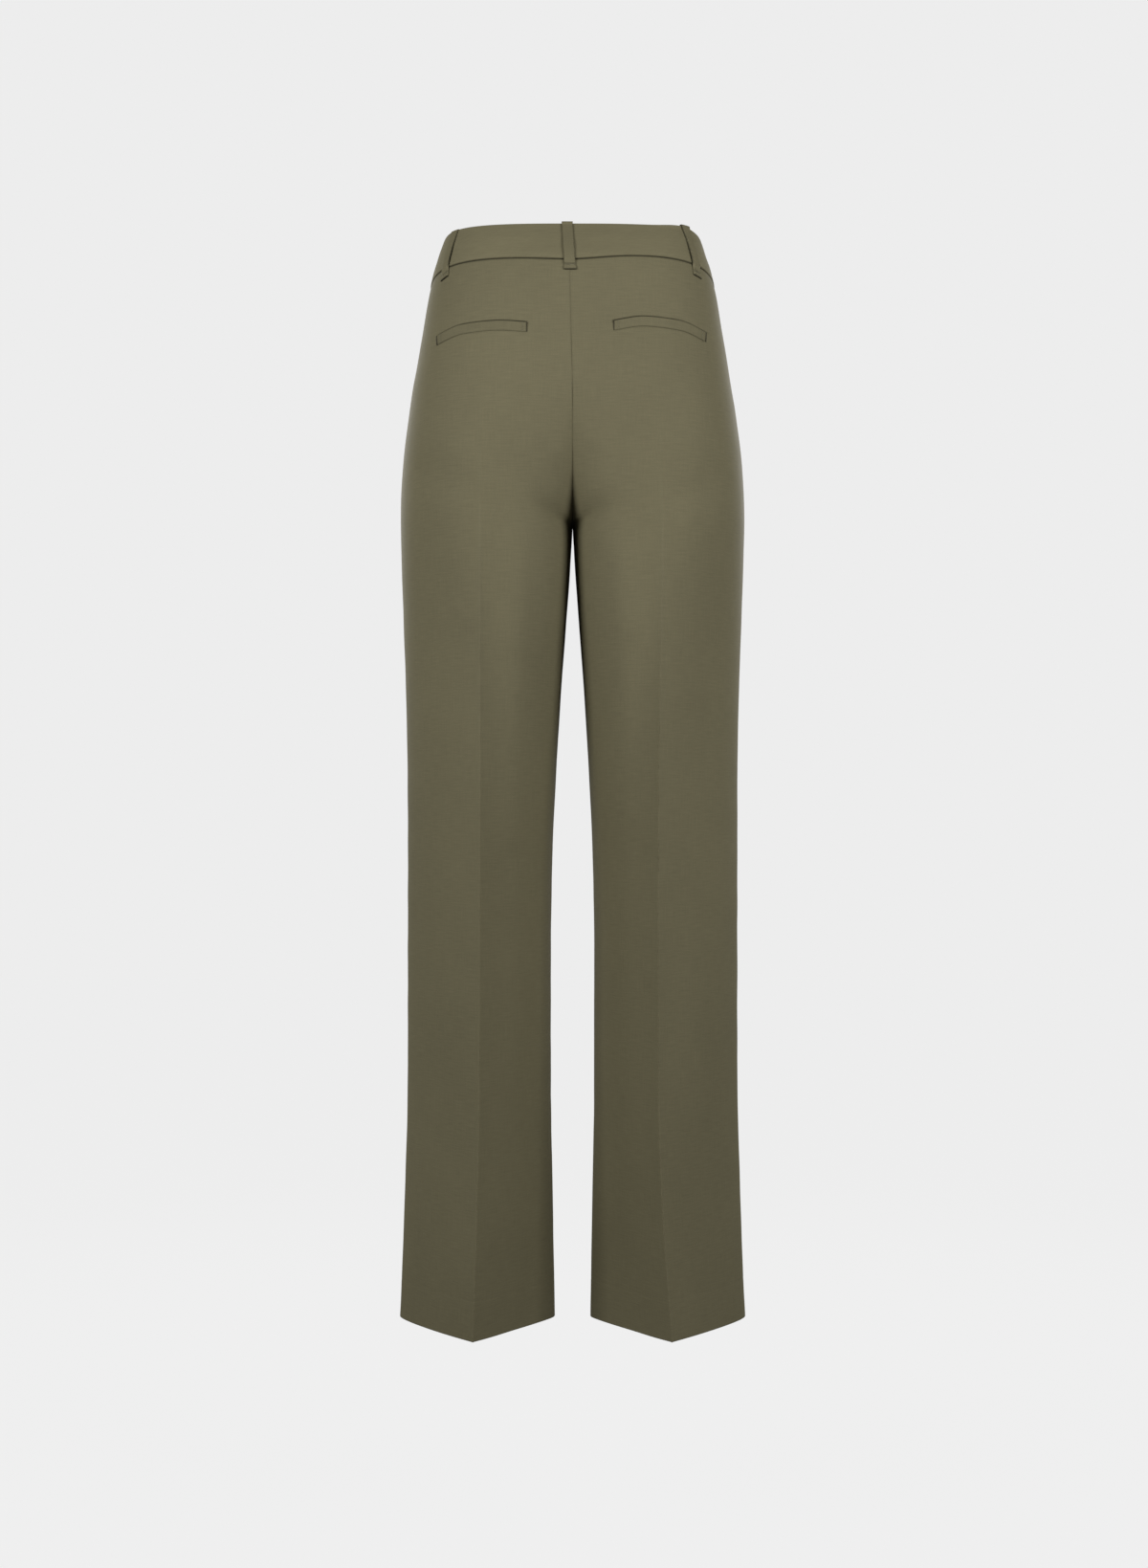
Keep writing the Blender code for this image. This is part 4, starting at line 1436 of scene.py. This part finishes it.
# %% [markdown]
# ## Fly
#
# Behind the front opening a shield keeps the cloth closed. It is hidden in wear and only
# shows from inside. Outside, the fly is told by its J of topstitching.

# %% Shield
SHIELD_LENGTH = 161 * MM
SHIELD_WIDTH = 38 * MM
SHIELD_FOOT = 14 * MM        # width at its lower end
SHIELD_CLOTH = 1.2 * MM
SHIELD_GAP = 0.5 * MM


def make_shield():
    down = filled(np.concatenate([EDGE_ROWS, SHIELD_LENGTH - EDGE_ROWS]), 3 * MM)[:, None]
    width = SHIELD_WIDTH - (SHIELD_WIDTH - SHIELD_FOOT) * (down / SHIELD_LENGTH) ** 3
    places = filled(np.concatenate([EDGE_ROWS[:5], SHIELD_WIDTH - EDGE_ROWS[:5]]), 2.5 * MM)
    places = places[None, :] / SHIELD_WIDTH
    x = np.maximum(width * places, MM * (1 + places * 0.01))
    drop = BAND_HEIGHT + SEAM_DIP + WAIST_GAP + down + 0 * x
    form, normals, _ = surface(RIGHT, FRONT, x, drop)
    edge = np.minimum(width - x, np.minimum(down, SHIELD_LENGTH - down))
    roll = rolled(np.maximum(edge, 0), 0.6 * MM, 0.45) * SHIELD_CLOTH
    lift = soft_relief(RIGHT, FRONT, x, drop) - CLOTH - SHIELD_GAP
    sides = skins(form, normals, lift - roll, lift - SHIELD_CLOTH + roll)
    seam = ALLOWANCE - np.clip(edge, 0, None)
    piece = cloth("fly_shield_strip", sides, (wrong_side,), (x + 7.0, drop), seam=seam)
    dress(piece, "fly_shield")


make_shield()

# %% Topstitching
STITCH = 2.6 * MM
STITCH_GAP = 0.7 * MM


def fly_path():
    """Points down the straight of the J and round its foot, with normals."""
    straight = np.arange(BAND_HEIGHT + SEAM_DIP + 3 * MM, FLY_STRAIGHT, MM)
    angle = np.linspace(0, math.pi / 2, 60)
    x = np.concatenate([np.full(len(straight), FLY_WIDTH), FLY_WIDTH * np.cos(angle)])
    drop = np.concatenate([straight, FLY_STRAIGHT + (FLY_FOOT - FLY_STRAIGHT) * np.sin(angle)])
    x = np.maximum(x, 1.5 * MM)
    points, normals, _ = surface(RIGHT, FRONT, x, drop)
    lift = soft_relief(RIGHT, FRONT, x, drop) + FLY_PROUD / 2 - 0.10 * MM
    return points + normals * lift[:, None], normals


def sew_fly():
    """A row of stitches along the J."""
    points, normals = fly_path()
    run = np.concatenate([[0], np.cumsum(np.linalg.norm(np.diff(points, axis=0), axis=1))])
    starts = np.arange(0, run[-1] - STITCH, STITCH + STITCH_GAP)
    stitches("fly_topstitch", read_off(starts, run, points), read_off(starts + STITCH, run, points),
             read_off(starts + STITCH / 2, run, normals), THREAD["fly"])


sew_fly()

# %% [markdown]
# ## Studio
#
# The photograph has an even, pale surround and no visible floor line, and the waist is
# nearly twice as bright as the hem. Two softboxes stand behind the trousers, one at each
# side and level with the waist: their distance to the hem gives that fall, and their
# angle lights both sides of each crease. Two more light the front for the other views.
# The surround stays as pale as the photograph's to the eye, but sends out less light than
# it shows, as black flags round a set do, so that the softboxes can still shape the cloth.

# %% World and floor
SURROUND = 0.847             # linear value of the pale surround
FILL = 0.15                  # share of light that it gives the cloth
WHITE = (1.0, 1.0, 1.0, 1.0)
FLOOR_SIZE = 14.0
FLOOR_ALBEDO = 0.02          # it shines by itself, so that no edge or horizon shows
FLOOR_DROP = 1.30            # the trousers hang clear of it


def surround():
    world = bpy.data.worlds.new("studio")
    world.use_nodes = True
    tree = world.node_tree
    background = tree.nodes["Background"]
    path = Flow(tree, tree.nodes.new("ShaderNodeLightPath").outputs["Is Camera Ray"])
    feed(tree, background.inputs["Strength"], path * (SURROUND - FILL) + FILL)
    background.inputs["Color"].default_value = WHITE
    bpy.context.scene.world = world


def floor_finish():
    finish = Finish("pale floor", {"Base Color": tone(WHITE[:3], FLOOR_ALBEDO), "Roughness": 1.0,
                                   "Specular IOR Level": 0.0, "Emission Color": WHITE})
    path = finish.node("LightPath", output="Is Camera Ray")
    shown = SURROUND - FLOOR_ALBEDO * FILL
    feed(finish.tree, finish.shader.inputs["Emission Strength"], path * (shown - FILL) + FILL)
    return finish.material


surround()
floor_mesh = bpy.data.meshes.new("floor")
corners = [(x * FLOOR_SIZE / 2, y * FLOOR_SIZE / 2, 0) for x, y in ((-1, -1), (1, -1), (1, 1), (-1, 1))]
floor_mesh.from_pydata(corners, [], [(0, 1, 2, 3)])
floor_mesh.materials.append(floor_finish())
floor = bpy.data.objects.new("floor", floor_mesh)
floor.location = (0, 0, -FLOOR_DROP)
bpy.context.scene.collection.objects.link(floor)
print("floor:", FLOOR_SIZE, "m wide and", FLOOR_DROP, "m below the waist")

# %% Softboxes
AIM = (0.0, 0.0, -0.30)
BOX_WIDTH, BOX_HEIGHT = 0.8, 0.6
SOFTBOXES = {                # place and watts
    "back left": ((1.30, 1.30, 0.10), 25.6),
    "back right": ((-1.30, 1.30, 0.10), 24.8),
    "front left": ((0.95, -1.58, 0.10), 18.0),
    "front right": ((-0.95, -1.58, 0.10), 18.0),
}

for name, (place, watts) in SOFTBOXES.items():
    data = bpy.data.lights.new(name, "AREA")
    data.shape = "RECTANGLE"
    data.size = BOX_WIDTH
    data.size_y = BOX_HEIGHT
    data.energy = watts
    lamp = bpy.data.objects.new(name, data)
    lamp.location = place
    lamp.rotation_euler = (Vector(AIM) - Vector(place)).to_track_quat("-Z", "Y").to_euler()
    lamp.visible_camera = False
    bpy.context.scene.collection.objects.link(lamp)
bpy.context.scene.view_settings.view_transform = "Standard"
print("softboxes:", len(SOFTBOXES))
